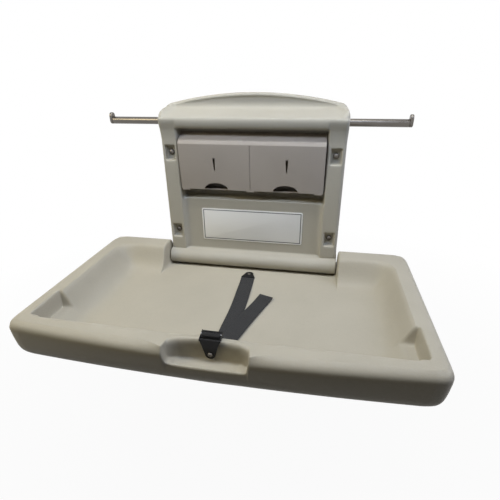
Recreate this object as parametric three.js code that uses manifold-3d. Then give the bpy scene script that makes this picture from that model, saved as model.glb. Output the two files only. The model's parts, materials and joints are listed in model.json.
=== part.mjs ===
// Wall-mounted fold-down baby changing station, modelled with its bed open.
// Millimetres, +Z up. The wall is the plane y = 0 and the room lies towards -Y.
// The origin is the middle of the four wall screws, on the wall.
import * as THREE from 'three';
import { mergeVertices } from 'three/addons/utils/BufferGeometryUtils.js';
import ManifoldModule from 'manifold-3d';

const wasm = await ManifoldModule();
wasm.setup();

// Fits
const seatGap = 0.3; // between faces that rest on each other
const boreGap = 0.3; // round a pin in its hole
const slotGap = 0.5; // round a plate in its slot
const turnGap = 1.5; // round the barrel, where the bed turns past it
const earGap = 2.5; // between the barrel's ends and the bed
const cutReach = 10; // how far a cutter runs past the face that it opens

// Fineness of rounds
const roundSides = 24;
const fastenerSides = 12;
const arcSteps = 3;
const handleSteps = 14;

// Place of the open bed
const wallGap = 45; // wall to the bed's back edge
const rimDrop = 152; // wall screws' middle down to the bed's rim

// Bed moulding
const plasticWall = 4;
const bedWidth = 880;
const bedDepth = 480; // back edge to front corners
const bedBow = 19; // how far the front edge bows out at its middle
const bedHeight = 89;
const bedDraft = 5; // how far the outer walls lean in above their rounded foot
const bedCorner = 22;
const bottomRound = 18;
const rimRound = 9;
const rimSide = 47.5;
const rimBack = 65;
const rimFront = 43; // at the front corners
const wellDepth = 66;
const wellCorner = 48;
const wellFillet = 14;
const sideSlope = 14; // how far each wall of the well leans in above its fillet
const backSlope = 16;
const frontSlope = 6;

// Handle recess in the bed's front rim
const handleWidth = 176;
const handleReach = 40; // front edge to the recess's back wall, at the middle
const handleEndReach = 12; // the same at the recess's ends
const handleDepth = 49;

// Bed underside
const baseThickness = 4;
const baseScrewSide = 140; // bed's side to the outer screws
const baseScrewBack = 140; // bed's back edge to the rear screws
const baseScrewFront = 100; // front corners to the front screws
const baseBossRadius = 7;
const smallShankRadius = 2;
const smallHeadRadius = 4.5;
const smallHeadHeight = 2.4;
const smallScrewLength = 12;

// Hinge
const hingeInset = 14; // bed's back edge to the axis
const hingeRise = 47; // bed's underside up to the axis
const barrelRadius = 30;
const rodRadius = 6;
const rodTail = 6; // rod beyond its collars
const collarRadius = 9;
const collarLength = 8;
const lugThickness = 4;
const lugRadius = 9;
const lugFootWidth = 40;
const lugFootReach = 48; // axis to the foot's front edge
const lugFootThickness = 3;
const lugScrewPitch = 26;
const bracketInset = 50; // unit's end to the bracket
const bracketThickness = 6;
const bracketRadius = 14;
const bushWall = 2;
const bushFlangeRadius = 11;
const bushFlange = 2;
const damperInset = 70; // bracket to the damper
const damperLength = 50;
const damperRadius = 18;
const damperArmWidth = 36;
const damperArmHeight = 12;
const bumperInset = 100; // unit's end to the bumper
const bumperRadius = 7;
const bumperRise = 9; // bed's underside up to the bumper's middle

// Wall housing
const unitWidth = 500;
const postInset = 3; // posts stand in from the crown and barrel ends
const postWidth = 52;
const postDepth = 67;
const postEdge = 12;
const panelSetback = 12; // posts' front to the lower panel
const baySetback = 32; // posts' front to the dispenser bay's back
const ledgeZ = -2;
const recessTop = 178;
const crownTop = 266;
const crownShoulder = 241; // where the arch meets the rounded corners
const crownShoulderInset = 28;
const crownFlare = 30; // height over which the posts widen to the crown
const crownSkin = 4;
const lipZ = 206;
const lipDepth = 75;
const lipWall = 6; // crown's skin under its lip
const scoopTop = 234;
const scoopFloor = 219.5; // height that the scoop's curve is drawn towards
const scoopHollow = 36; // how far out from the wall the scoop's curve is drawn
const beadDepth = 9;
const beadHeight = 9;

// Wall screws
const screwInset = 26; // unit's side to the screws
const screwPitchZ = 230;
const screwShankRadius = 3;
const screwHeadRadius = 8;
const screwHeadRise = 5;
const screwPocketWidth = 27;
const screwPocketHeight = 40;
const screwPocketDepth = 14;
const screwBossRadius = 10;

// Back plate
const plateThickness = 3;
const plateMargin = 14; // unit's side to the plate's edge
const plateTop = 214;
const plateFoot = 6; // how far the plate runs below the bed's underside

// Hook bar
const barRadius = 9.5;
const barZ = 196;
const barDepth = 42; // wall to the bar's axis
const barEndMargin = 41; // bed's side to the bar's end
const barLipRise = 11;
const barLipThickness = 8;
const saddleInset = 50; // unit's side to the saddle
const saddleWidth = 20;
const saddleHeight = 24;
const saddleGrip = 3; // how far the saddle reaches past the bar's axis

// Pockets in the bed's rim that clear the hook bar when the bed is shut
const pocketEnd = 8; // past the bar's end
const pocketUnder = 7.5; // below the bar
const pocketBehind = 52; // bar's axis to the pocket's rear, at the bottom
const pocketAhead = 18; // bar's axis to the pocket's front, at the bottom
const pocketRearLean = 7;
const pocketFrontLean = 18;
const pocketEndLean = 6;
const pocketMouth = 45; // how far the pocket runs in from the bar's end
const pocketCorner = 9;

// Liner dispenser
const dispenserMargin = 3; // recess's side to the cover
const dispenserWall = 3;
const dispenserBottom = 16;
const faceTop = 147;
const coverTop = 169;
const faceDepthTop = 75; // wall to the cover's face
const faceDepthBottom = 68;
const bevelDepth = 7;
const bevelHeight = 9;
const sightTop = 104;
const sightHeight = 34;
const sightTopWidth = 7;
const sightBottomWidth = 3;
const thumbShift = 2; // thumb cut-out's middle, in from its bay's middle
const thumbWidth = 60;
const thumbHeight = 15;
const shelfThickness = 3;
const shelfReach = 23; // bay's back to the shelf's edge
const shelfFinger = 20;
const flangeHeight = 34;
const dispenserScrewRise = 20; // above the shelf

// Label plate
const labelMargin = 50.5; // recess's side to the plate
const labelHeight = 99;
const labelThickness = 1;
const labelCorner = 4;
const labelMiddle = -93.5;

// Strap and its rear anchor
const strapWidth = 38;
const strapThickness = 1.2;
const anchorX = 5;
const anchorY = -78;
const anchorWidth = 34;
const anchorLength = 28;
const anchorThickness = 1.2;
const strapStart = 10; // rivet back to the strap's end
const strapSway = 9; // how far the slack strap wanders sideways
const tailLength = 238; // loose tail on the floor
const tailBend = 80; // stretch over which the tail turns aside
const tailYaw = 0.32; // radians
const strapSteps = 8;
const turnSteps = 4; // round the buckle's base
const rivetHeadRadius = 5;
const rivetHeadRise = 2;
const rivetShankRadius = 2.5;

// Buckle
const buckleX = 2.5;
const buckleSide = 1.6; // thickness of its cheeks
const buckleSideGap = 0.5; // strap edge to cheek
const buckleRear = 1; // well's front crest to the buckle's rear
const buckleTop = 9.8;
const buckleNose = 5; // cheek height at the front
const buckleBaseThickness = 1.2;
const buckleBaseLength = 8.5;
const hangerThickness = 1.5;
const hangerDrop = 42;
const hangerShoulder = 14; // rim down to where the hanger narrows
const hangerTip = 8;
const hangerRivetDrop = 30;
const camReach = 10.5; // well's front crest to the cam's axis
const camZ = 7.3;
const camRadius = 2.4;
const pinRadius = 1.2;
const tabLength = 9;
const tabThickness = 1.6;

// Derived places. The bed's own frame has its origin on the rim at the back edge.
const hingeDrop = bedHeight - hingeRise;
const hingeY = -(wallGap + hingeInset);
const hingeZ = -(rimDrop + hingeDrop);
const unitHalf = unitWidth / 2;
const postHalf = unitHalf - postInset;
const recessHalf = unitHalf - postWidth;
const screwX = unitHalf - screwInset;
const bracketX = unitHalf - bracketInset;
const damperX = bracketX - damperInset;
const bumperX = unitHalf - bumperInset;
const saddleX = unitHalf - saddleInset;
const dispenserHalf = recessHalf - dispenserMargin;
const bayMiddle = dispenserHalf / 2;
const thumbX = bayMiddle - thumbShift;
const labelHalf = recessHalf - labelMargin;
const shelfTop = dispenserBottom - seatGap;
const dispenserScrewZ = shelfTop + dispenserScrewRise;
const panelY = -(postDepth - panelSetback);
const bayY = -(postDepth - baySetback);
const notchHalf = unitHalf + earGap;
const plateFront = -plateThickness;
const bedHalf = bedWidth / 2;
const frontMiddle = -(bedDepth + bedBow);
const crestY = -(bedDepth - rimFront);
const barHalf = bedHalf - barEndMargin;
const barShutY = -(barZ - hingeZ + hingeInset);
const barShutZ = wallGap + hingeInset - barDepth - hingeDrop;
const baseTop = -(bedHeight - baseThickness);
const lowStrap = seatGap + strapThickness / 2;
const highStrap = lowStrap + strapThickness + seatGap;
const buckledStrap = highStrap + buckleBaseThickness + seatGap;
const frameHalf = strapWidth / 2 + buckleSideGap + buckleSide;
const buckleBaseRear = crestY - rimRound - seatGap;
const buckleBaseFront = buckleBaseRear - buckleBaseLength;
const camY = crestY - camReach;

const finishes = {
  bedPlastic: { color: 0xc9c3b4, roughness: 0.55, metalness: 0 },
  housingPlastic: { color: 0xbfbab0, roughness: 0.55, metalness: 0 },
  dispenserPlastic: { color: 0xa89f98, roughness: 0.5, metalness: 0 },
  labelPlastic: { color: 0xe6e4de, roughness: 0.35, metalness: 0 },
  stainless: { color: 0xc4c2bd, roughness: 0.25, metalness: 1 },
  zincSteel: { color: 0x9a9c9e, roughness: 0.45, metalness: 1 },
  blackPlastic: { color: 0x161616, roughness: 0.4, metalness: 0 },
  nylon: { color: 0xe8e6df, roughness: 0.5, metalness: 0 },
  rubber: { color: 0x202020, roughness: 0.85, metalness: 0 },
  webbing: { color: 0x3c3c3e, roughness: 0.9, metalness: 0 },
};

// Closed triangle meshes and their joins

function solidOf(geometry) {
  geometry.deleteAttribute('normal');
  geometry.deleteAttribute('uv');
  const merged = mergeVertices(geometry);
  const corners = merged.getIndex().array;
  const triangles = [];
  for (let k = 0; k < corners.length; k += 3) {
    const [a, b, c] = corners.slice(k, k + 3);
    if (a !== b && b !== c && c !== a) triangles.push(a, b, c);
  }
  return new wasm.Manifold(new wasm.Mesh({
    numProp: 3,
    vertProperties: new Float32Array(merged.getAttribute('position').array),
    triVerts: new Uint32Array(triangles),
  }));
}

function geometryOf(solid) {
  const mesh = solid.getMesh();
  const geometry = new THREE.BufferGeometry();
  geometry.setAttribute('position', new THREE.BufferAttribute(mesh.vertProperties, 3));
  geometry.setIndex(new THREE.BufferAttribute(mesh.triVerts, 1));
  geometry.computeVertexNormals();
  return geometry;
}

function joined(solids) {
  return solids.reduce((sum, solid) => sum.add(solid));
}

function cut(solid, cutters) {
  return cutters.reduce((rest, cutter) => rest.subtract(cutter), solid);
}

function box(x0, x1, y0, y1, z0, z1) {
  const geometry = new THREE.BoxGeometry(x1 - x0, y1 - y0, z1 - z0);
  geometry.translate((x0 + x1) / 2, (y0 + y1) / 2, (z0 + z1) / 2);
  return solidOf(geometry);
}

function barAlongX(radius, x0, x1, y, z) {
  const geometry = new THREE.CylinderGeometry(radius, radius, x1 - x0, roundSides);
  geometry.rotateZ(-Math.PI / 2);
  geometry.translate((x0 + x1) / 2, y, z);
  return solidOf(geometry);
}

function barAlongY(radius, x, y0, y1, z) {
  const geometry = new THREE.CylinderGeometry(radius, radius, y1 - y0, roundSides);
  geometry.translate(x, (y0 + y1) / 2, z);
  return solidOf(geometry);
}

function barAlongZ(radius, x, y, z0, z1) {
  const geometry = new THREE.CylinderGeometry(radius, radius, z1 - z0, roundSides);
  geometry.rotateX(Math.PI / 2);
  geometry.translate(x, y, (z0 + z1) / 2);
  return solidOf(geometry);
}

function extrusion(shape, depth, curveSegments) {
  return new THREE.ExtrudeGeometry(shape, { depth, bevelEnabled: false, curveSegments });
}

// A shape drawn in (y, z), extruded along X
function prismAlongX(shape, x0, x1) {
  const geometry = extrusion(shape, x1 - x0, 2 * arcSteps);
  const turn = new THREE.Matrix4().makeBasis(
    new THREE.Vector3(0, 1, 0),
    new THREE.Vector3(0, 0, 1),
    new THREE.Vector3(1, 0, 0),
  );
  geometry.applyMatrix4(turn);
  geometry.translate(x0, 0, 0);
  return solidOf(geometry);
}

// A shape drawn in (x, z), extruded from backY towards the room
function prismForward(shape, backY, depth) {
  const geometry = extrusion(shape, depth, 2 * arcSteps);
  geometry.rotateX(Math.PI / 2);
  geometry.translate(0, backY, 0);
  return solidOf(geometry);
}

// A shape drawn in (x, y), extruded upwards
function prismUp(shape, z0, z1, curveSteps = 2 * arcSteps) {
  const geometry = extrusion(shape, z1 - z0, curveSteps);
  geometry.translate(0, 0, z0);
  return solidOf(geometry);
}

function polygon(points) {
  return new THREE.Shape(points.map(([u, v]) => new THREE.Vector2(u, v)));
}

function roundedRectangle(left, right, bottom, top, radius) {
  const shape = new THREE.Shape();
  shape.absarc(right - radius, bottom + radius, radius, -Math.PI / 2, 0);
  shape.absarc(right - radius, top - radius, radius, 0, Math.PI / 2);
  shape.absarc(left + radius, top - radius, radius, Math.PI / 2, Math.PI);
  shape.absarc(left + radius, bottom + radius, radius, Math.PI, 1.5 * Math.PI);
  return shape;
}

function ringOf(shape, z) {
  const points = shape.getPoints(arcSteps);
  const apart = points.filter((point, k) => point.distanceTo(points.at(k - 1)) > seatGap);
  return apart.map((point) => new THREE.Vector3(point.x, point.y, z));
}

// A closed skin over convex rings of equal count
function loft(rings) {
  const count = rings[0].length;
  const lastRing = (rings.length - 1) * count;
  const index = [];
  for (let start = 0; start < lastRing; start += count) {
    for (let k = 0; k < count; k += 1) {
      const a = start + k;
      const b = start + ((k + 1) % count);
      index.push(a, b, b + count, a, b + count, a + count);
    }
  }
  for (let k = 1; k + 1 < count; k += 1) {
    index.push(0, k + 1, k, lastRing, lastRing + k, lastRing + k + 1);
  }
  const geometry = new THREE.BufferGeometry().setFromPoints(rings.flat());
  geometry.setIndex(index);
  return solidOf(geometry);
}

// Quarter-circle stations, as pairs of cosine and sine
function quarter(steps) {
  return Array.from({ length: steps + 1 }, (_, k) => {
    const angle = (k / steps) * (Math.PI / 2);
    return [Math.cos(angle), Math.sin(angle)];
  });
}

// A domed screw or rivet on the Y axis, its head's seat at y = 0 and its dome towards +Y
function domedFastener(shankRadius, shankLength, headRadius, headRise) {
  const profile = [
    new THREE.Vector2(0, -shankLength),
    new THREE.Vector2(shankRadius, -shankLength),
    new THREE.Vector2(shankRadius, 0),
  ];
  for (const [across, up] of quarter(arcSteps)) {
    profile.push(new THREE.Vector2(headRadius * across, headRise * up));
  }
  profile.at(-1).x = 0;
  return new THREE.LatheGeometry(profile, fastenerSides);
}

// A countersunk screw on the Z axis, its flat head down at z = 0
function undersideScrew() {
  const profile = [
    new THREE.Vector2(0, 0),
    new THREE.Vector2(smallHeadRadius, 0),
    new THREE.Vector2(smallShankRadius, smallHeadHeight),
    new THREE.Vector2(smallShankRadius, smallScrewLength),
    new THREE.Vector2(0, smallScrewLength),
  ];
  return new THREE.LatheGeometry(profile, fastenerSides).rotateX(Math.PI / 2);
}

// The room that such a screw needs, up from its head
function undersideScrewHole(x, y, z) {
  const profile = [
    new THREE.Vector2(0, -cutReach),
    new THREE.Vector2(smallHeadRadius + boreGap, -cutReach),
    new THREE.Vector2(smallHeadRadius + boreGap, 0),
    new THREE.Vector2(smallShankRadius + boreGap, smallHeadHeight),
    new THREE.Vector2(smallShankRadius + boreGap, smallScrewLength + boreGap),
    new THREE.Vector2(0, smallScrewLength + boreGap),
  ];
  const geometry = new THREE.LatheGeometry(profile, fastenerSides).rotateX(Math.PI / 2);
  geometry.translate(x, y, z);
  return solidOf(geometry);
}

// A stepped sleeve on the X axis, given as outer radii over lengths, bored through
function sleeve(x0, steps, boreRadius) {
  let x = x0;
  const collars = steps.map(([radius, length]) => {
    x += length;
    return barAlongX(radius, x - length, x, 0, 0);
  });
  return joined(collars).subtract(barAlongX(boreRadius, x0 - cutReach, x + cutReach, 0, 0));
}

function piece(name, shape, finish, parent) {
  const geometry = shape.isBufferGeometry ? shape : geometryOf(shape);
  const mesh = new THREE.Mesh(geometry, new THREE.MeshStandardMaterial(finishes[finish]));
  mesh.name = name;
  parent.add(mesh);
  return mesh;
}

const station = new THREE.Group();
const wallUnit = new THREE.Group();
const bed = new THREE.Group();
bed.position.set(0, -wallGap, -rimDrop);
station.add(wallUnit, bed);

const sides = [['left', -1], ['right', 1]];
const screwPlaces = [
  ['ul', -screwX, screwPitchZ / 2],
  ['ur', screwX, screwPitchZ / 2],
  ['ll', -screwX, -screwPitchZ / 2],
  ['lr', screwX, -screwPitchZ / 2],
];

// Back plate, with its holes for the wall screws
function backPlate(gap) {
  const half = unitHalf - plateMargin + gap;
  const bottom = -(rimDrop + bedHeight + plateFoot) - gap;
  return box(-half, half, plateFront - gap, 0, bottom, plateTop + gap);
}

const screwHoles = screwPlaces.map(([, x, z]) => (
  barAlongY(screwShankRadius + boreGap, x, -lipDepth, cutReach, z)
));
piece('back_plate', cut(backPlate(0), screwHoles), 'zincSteel', wallUnit);

// Front view of the crown, arched over rounded corners
function crownOutline(inset) {
  const half = unitHalf - inset;
  const shoulder = crownShoulder - inset;
  const shoulderX = half - crownShoulderInset;
  const archPull = 2 * (crownTop - inset) - shoulder;
  const shape = new THREE.Shape();
  shape.moveTo(-(postHalf - inset), recessTop - crownFlare);
  shape.lineTo(postHalf - inset, recessTop - crownFlare);
  shape.lineTo(half, recessTop);
  shape.lineTo(half, lipZ - inset);
  shape.quadraticCurveTo(half, shoulder - inset, shoulderX, shoulder);
  shape.quadraticCurveTo(0, archPull, -shoulderX, shoulder);
  shape.quadraticCurveTo(-half, shoulder - inset, -half, lipZ - inset);
  shape.lineTo(-half, recessTop);
  return shape;
}

// Side view of the crown in (y, z): nosing, lip, and the scoop that rises to a thin top
function crownSection() {
  const shape = new THREE.Shape();
  shape.moveTo(0, recessTop - crownFlare);
  shape.lineTo(0, crownTop);
  shape.lineTo(-crownSkin, crownTop);
  shape.lineTo(-crownSkin, scoopTop);
  shape.bezierCurveTo(-crownSkin, scoopFloor, -scoopHollow, scoopFloor, -lipDepth, lipZ);
  shape.quadraticCurveTo(-lipDepth, recessTop, -postDepth, recessTop);
  shape.lineTo(-postDepth, recessTop - crownFlare);
  return shape;
}

// Hollow under the crown in (y, z)
function crownHollow() {
  return polygon([
    [cutReach, recessTop - crownFlare],
    [cutReach, scoopFloor + plasticWall],
    [0, scoopFloor + plasticWall],
    [-(lipDepth - plasticWall), lipZ - lipWall],
    [-(postDepth - plasticWall), recessTop],
    [-(postDepth - plasticWall), recessTop - crownFlare],
  ]);
}

function crownBead() {
  const ring = crownOutline(0);
  const inside = prismForward(crownOutline(beadHeight), cutReach, lipDepth);
  const below = box(-unitWidth, unitWidth, -lipDepth, cutReach, -rimDrop, lipZ);
  return cut(prismForward(ring, 0, beadDepth), [inside, below]);
}

// Plan of the posts, with rounded front edges
function postPlan(inset, backY) {
  const half = postHalf - inset;
  const front = -(postDepth - inset);
  const edge = postEdge - inset;
  const shape = new THREE.Shape();
  shape.moveTo(half, backY);
  shape.lineTo(-half, backY);
  shape.absarc(-half + edge, front + edge, edge, Math.PI, 1.5 * Math.PI);
  shape.absarc(half - edge, front + edge, edge, 1.5 * Math.PI, 2 * Math.PI);
  return shape;
}

function recessCuts(grow) {
  const half = recessHalf + grow;
  const front = -(lipDepth + cutReach);
  return [
    box(-half, half, front, panelY + grow, hingeZ, ledgeZ + grow),
    box(-half, half, front, bayY + grow, ledgeZ - grow, recessTop + grow),
  ];
}

function screwPockets(grow) {
  const halfWidth = screwPocketWidth / 2 + grow;
  const halfHeight = screwPocketHeight / 2 + grow;
  const floor = -(postDepth - screwPocketDepth) + grow;
  return screwPlaces.map(([, x, z]) => (
    box(x - halfWidth, x + halfWidth, -(postDepth + cutReach), floor, z - halfHeight, z + halfHeight)
  ));
}

function barrel(inset) {
  const half = unitHalf - inset;
  const radius = barrelRadius - inset;
  const back = inset > 0 ? cutReach : 0;
  return barAlongX(radius, -half, half, hingeY, hingeZ)
    .add(box(-half, half, hingeY, back, hingeZ - radius, hingeZ));
}

// Open-backed wall housing: outer form less its recess, pockets and hollow
function wallHousing() {
  const width = unitHalf + cutReach;
  const posts = prismUp(postPlan(0, 0), hingeZ, recessTop);
  const crown = prismForward(crownOutline(0), 0, lipDepth + cutReach)
    .intersect(prismAlongX(crownSection(), -width, width));
  const body = cut(joined([posts, crown, crownBead()]), [...recessCuts(0), ...screwPockets(0)]);
  const bossLength = [-(postDepth - screwPocketDepth), plateFront - seatGap];
  const bosses = screwPlaces.map(([, x, z]) => barAlongY(screwBossRadius, x, ...bossLength, z));
  const postHollow = prismUp(postPlan(plasticWall, cutReach), hingeZ, recessTop);
  const hollowUnderCrown = prismForward(crownOutline(plasticWall), cutReach, lipDepth + 2 * cutReach)
    .intersect(prismAlongX(crownHollow(), -width, width));
  const walls = [...recessCuts(plasticWall), ...screwPockets(plasticWall), ...bosses];
  const hollow = cut(postHollow.add(hollowUnderCrown), walls).add(barrel(plasticWall));
  const barHole = barAlongX(barRadius + boreGap, -width, width, -barDepth, barZ);
  const rodHole = barAlongX(rodRadius + turnGap, -width, width, hingeY, hingeZ);
  const dispenserHoles = sides.map(([, side]) => (
    barAlongY(smallShankRadius + boreGap, side * bayMiddle, bayY - cutReach, 0, dispenserScrewZ)
  ));
  const holes = [backPlate(slotGap), barHole, rodHole, ...screwHoles, ...dispenserHoles];
  return cut(body.add(barrel(0)), [hollow, ...holes]);
}

piece('wall_housing', wallHousing(), 'housingPlastic', wallUnit);

for (const [corner, x, z] of screwPlaces) {
  const seat = postDepth - screwPocketDepth + seatGap;
  const screw = domedFastener(screwShankRadius, seat - seatGap, screwHeadRadius, screwHeadRise);
  screw.rotateX(Math.PI);
  const mesh = piece(`wall_screw_${corner}`, screw, 'stainless', wallUnit);
  mesh.position.set(x, -seat, z);
}

// Hook bar, its upturned ends and the saddles that carry it
const barStraight = barHalf - barLipThickness - seatGap;
piece('hook_bar', barAlongX(barRadius, -barStraight, barStraight, -barDepth, barZ), 'stainless', wallUnit);

function barEnd(x0) {
  const shape = new THREE.Shape();
  shape.absarc(-barDepth, barZ, barRadius, Math.PI, 2 * Math.PI);
  shape.absarc(-barDepth, barZ + barLipRise, barRadius, 0, Math.PI);
  return prismAlongX(shape, x0, x0 + barLipThickness);
}

function barSaddle(x) {
  const halfWidth = saddleWidth / 2;
  const halfHeight = saddleHeight / 2;
  const front = -(barDepth + saddleGrip);
  const back = plateFront - seatGap;
  const block = box(x - halfWidth, x + halfWidth, front, back, barZ - halfHeight, barZ + halfHeight);
  const bore = barAlongX(barRadius + boreGap, x - saddleWidth, x + saddleWidth, -barDepth, barZ);
  return block.subtract(bore);
}

for (const [side, sign] of sides) {
  const endX = sign > 0 ? barHalf - barLipThickness : -barHalf;
  piece(`hook_bar_end_${side}`, barEnd(endX), 'stainless', wallUnit);
  piece(`bar_saddle_${side}`, barSaddle(sign * saddleX), 'zincSteel', wallUnit);
}

// Liner dispenser: a cover over two bays, open below, and the shelf that the liners rest on
const dispenserBack = bayY - seatGap;

function coverSection(inset, back, bottom) {
  return polygon([
    [back, bottom],
    [-(faceDepthBottom - inset), bottom],
    [-(faceDepthTop - inset), faceTop - inset / 2],
    [-(faceDepthTop - bevelDepth - inset / 2), faceTop + bevelHeight - inset],
    [back, coverTop - inset],
  ]);
}

function dispenserCover() {
  const shell = prismAlongX(coverSection(0, dispenserBack, dispenserBottom), -dispenserHalf, dispenserHalf);
  const bayBack = dispenserBack + cutReach;
  const baySection = coverSection(dispenserWall, bayBack, dispenserBottom - cutReach);
  const bayHalf = dispenserHalf - dispenserWall;
  const divider = dispenserWall / 2;
  const bays = [prismAlongX(baySection, -bayHalf, -divider), prismAlongX(baySection, divider, bayHalf)];
  const flangeFront = dispenserBack - shelfThickness - seatGap;
  const flangeRoom = box(-dispenserWall, dispenserWall, flangeFront, bayBack,
    dispenserBottom - cutReach, dispenserBottom + flangeHeight + seatGap);
  const cutterBack = -(faceDepthBottom - 2 * dispenserWall);
  const sights = sides.map(([, side]) => {
    const x = side * bayMiddle;
    const slot = polygon([
      [x - sightBottomWidth / 2, sightTop - sightHeight],
      [x + sightBottomWidth / 2, sightTop - sightHeight],
      [x + sightTopWidth / 2, sightTop],
      [x - sightTopWidth / 2, sightTop],
    ]);
    return prismForward(slot, cutterBack, lipDepth);
  });
  const thumbs = sides.map(([, side]) => {
    const x = side * thumbX;
    const arch = new THREE.Shape();
    arch.absellipse(x, dispenserBottom, thumbWidth / 2, thumbHeight, 0, Math.PI);
    arch.lineTo(x - thumbWidth / 2, dispenserBottom - cutReach);
    arch.lineTo(x + thumbWidth / 2, dispenserBottom - cutReach);
    return prismForward(arch, cutterBack, lipDepth);
  });
  return cut(shell, [...bays, flangeRoom, ...sights, ...thumbs]);
}

function dispenserShelf() {
  const shelfBottom = shelfTop - shelfThickness;
  const shelfEdge = bayY - shelfReach;
  const flangeHalf = dispenserHalf - dispenserWall - seatGap;
  const flangeFront = dispenserBack - shelfThickness;
  const shelf = box(-dispenserHalf, dispenserHalf, shelfEdge, dispenserBack, shelfBottom, shelfTop);
  const flangeTop = shelfTop + flangeHeight;
  const flange = box(-flangeHalf, flangeHalf, flangeFront, dispenserBack, shelfBottom, flangeTop);
  const fingerHalf = shelfFinger / 2;
  const fingers = [-dispenserHalf + fingerHalf, 0, dispenserHalf - fingerHalf].map((x) => (
    box(x - fingerHalf, x + fingerHalf, -faceDepthBottom, shelfEdge + dispenserWall, shelfBottom, shelfTop)
  ));
  const holes = sides.map(([, side]) => (
    barAlongY(smallShankRadius + boreGap, side * bayMiddle, flangeFront - cutReach, 0, dispenserScrewZ)
  ));
  return cut(joined([shelf, flange, ...fingers]), holes);
}

piece('dispenser_cover', dispenserCover(), 'dispenserPlastic', wallUnit);
piece('dispenser_shelf', dispenserShelf(), 'dispenserPlastic', wallUnit);
for (const [side, sign] of sides) {
  const seat = dispenserBack - shelfThickness - seatGap;
  const screw = domedFastener(smallShankRadius, smallScrewLength, smallHeadRadius, smallHeadHeight);
  screw.rotateX(Math.PI);
  const mesh = piece(`dispenser_screw_${side}`, screw, 'stainless', wallUnit);
  mesh.position.set(sign * bayMiddle, seat, dispenserScrewZ);
}

// Bare label plate on the lower panel
const labelOutline = roundedRectangle(
  -labelHalf,
  labelHalf,
  labelMiddle - labelHeight / 2,
  labelMiddle + labelHeight / 2,
  labelCorner,
);
piece('label_plate', prismForward(labelOutline, panelY - seatGap, labelThickness), 'labelPlastic', wallUnit);

// Hinge brackets on the plate, with bushes, dampers and the bed's stops
const boreRadius = rodRadius + boreGap;
const bushRadius = boreRadius + bushWall;

function hingeBracket(x) {
  const half = bracketThickness / 2;
  const back = plateFront - seatGap;
  const arm = box(x - half, x + half, hingeY, back, hingeZ - bracketRadius, hingeZ + bracketRadius);
  const eye = barAlongX(bracketRadius, x - half, x + half, hingeY, hingeZ);
  const bore = barAlongX(bushRadius + boreGap, x - cutReach, x + cutReach, hingeY, hingeZ);
  return arm.add(eye).subtract(bore);
}

function hingeBush() {
  const barrelLength = bracketThickness + bushFlange;
  const steps = [[bushFlangeRadius, bushFlange], [bushRadius, barrelLength]];
  return sleeve(-barrelLength / 2 - bushFlange, steps, boreRadius);
}

function hingeDamper(x) {
  const half = damperLength / 2;
  const armHalf = damperArmWidth / 2;
  const armTop = damperArmHeight / 2;
  const arm = box(x - armHalf, x + armHalf, hingeY, plateFront - seatGap, hingeZ - armTop, hingeZ + armTop);
  const body = barAlongX(damperRadius, x - half, x + half, hingeY, hingeZ);
  return body.add(arm).subtract(barAlongX(boreRadius, x - damperLength, x + damperLength, hingeY, hingeZ));
}

for (const [side, sign] of sides) {
  piece(`hinge_bracket_${side}`, hingeBracket(sign * bracketX), 'zincSteel', wallUnit);
  const bush = piece(`hinge_bush_${side}`, hingeBush(), 'nylon', wallUnit);
  const bushShift = bushFlange / 2 + seatGap;
  bush.position.set(sign * (bracketX - bushShift), hingeY, hingeZ);
  bush.rotation.z = sign > 0 ? 0 : Math.PI;
  piece(`hinge_damper_${side}`, hingeDamper(sign * damperX), 'blackPlastic', wallUnit);
  const bumperZ = -(rimDrop + bedHeight) + bumperRise;
  const bumper = barAlongY(bumperRadius, sign * bumperX, -wallGap + seatGap, plateFront - seatGap, bumperZ);
  piece(`stop_bumper_${side}`, bumper, 'rubber', wallUnit);
}

// Plan of the bed with its bowed front, set in from the sides and front, and from the back
function bedPlan(inset, backInset) {
  const half = bedHalf - inset;
  const front = -(bedDepth - inset);
  const back = -backInset;
  const chord = half - bedCorner;
  const bowRadius = (chord * chord + bedBow * bedBow) / (2 * bedBow);
  const bowAngle = Math.asin(chord / bowRadius);
  const shape = new THREE.Shape();
  shape.absarc(0, front - bedBow + bowRadius, bowRadius, -Math.PI / 2 - bowAngle, -Math.PI / 2 + bowAngle);
  shape.absarc(half - bedCorner, front + bedCorner, bedCorner, -Math.PI / 2, 0);
  shape.absarc(half - bedCorner, back - bedCorner, bedCorner, 0, Math.PI / 2);
  shape.absarc(-half + bedCorner, back - bedCorner, bedCorner, Math.PI / 2, Math.PI);
  shape.absarc(-half + bedCorner, front + bedCorner, bedCorner, Math.PI, 1.5 * Math.PI);
  return shape;
}

// Rings of the rounded foot of the bed's outer walls, drawn with a given radius about its centre
function footRings(radius, backInset) {
  return quarter(arcSteps).map(([across, up]) => ringOf(
    bedPlan(bedDraft + bottomRound - radius * up, backInset),
    -bedHeight + bottomRound - radius * across,
  ));
}

function bedBlock() {
  const rings = footRings(bottomRound, 0);
  for (const [across, up] of quarter(arcSteps)) {
    const inset = rimRound * (1 - across);
    rings.push(ringOf(bedPlan(inset, inset), rimRound * (up - 1)));
  }
  return loft(rings);
}

function bedHollow() {
  return loft([
    ringOf(bedPlan(bedDraft + bottomRound, plasticWall), -(bedHeight + cutReach)),
    ...footRings(bottomRound - plasticWall, plasticWall),
    ringOf(bedPlan(plasticWall, plasticWall), -(rimRound + plasticWall)),
    ringOf(bedPlan(rimRound, rimRound), -plasticWall),
  ]);
}

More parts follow.
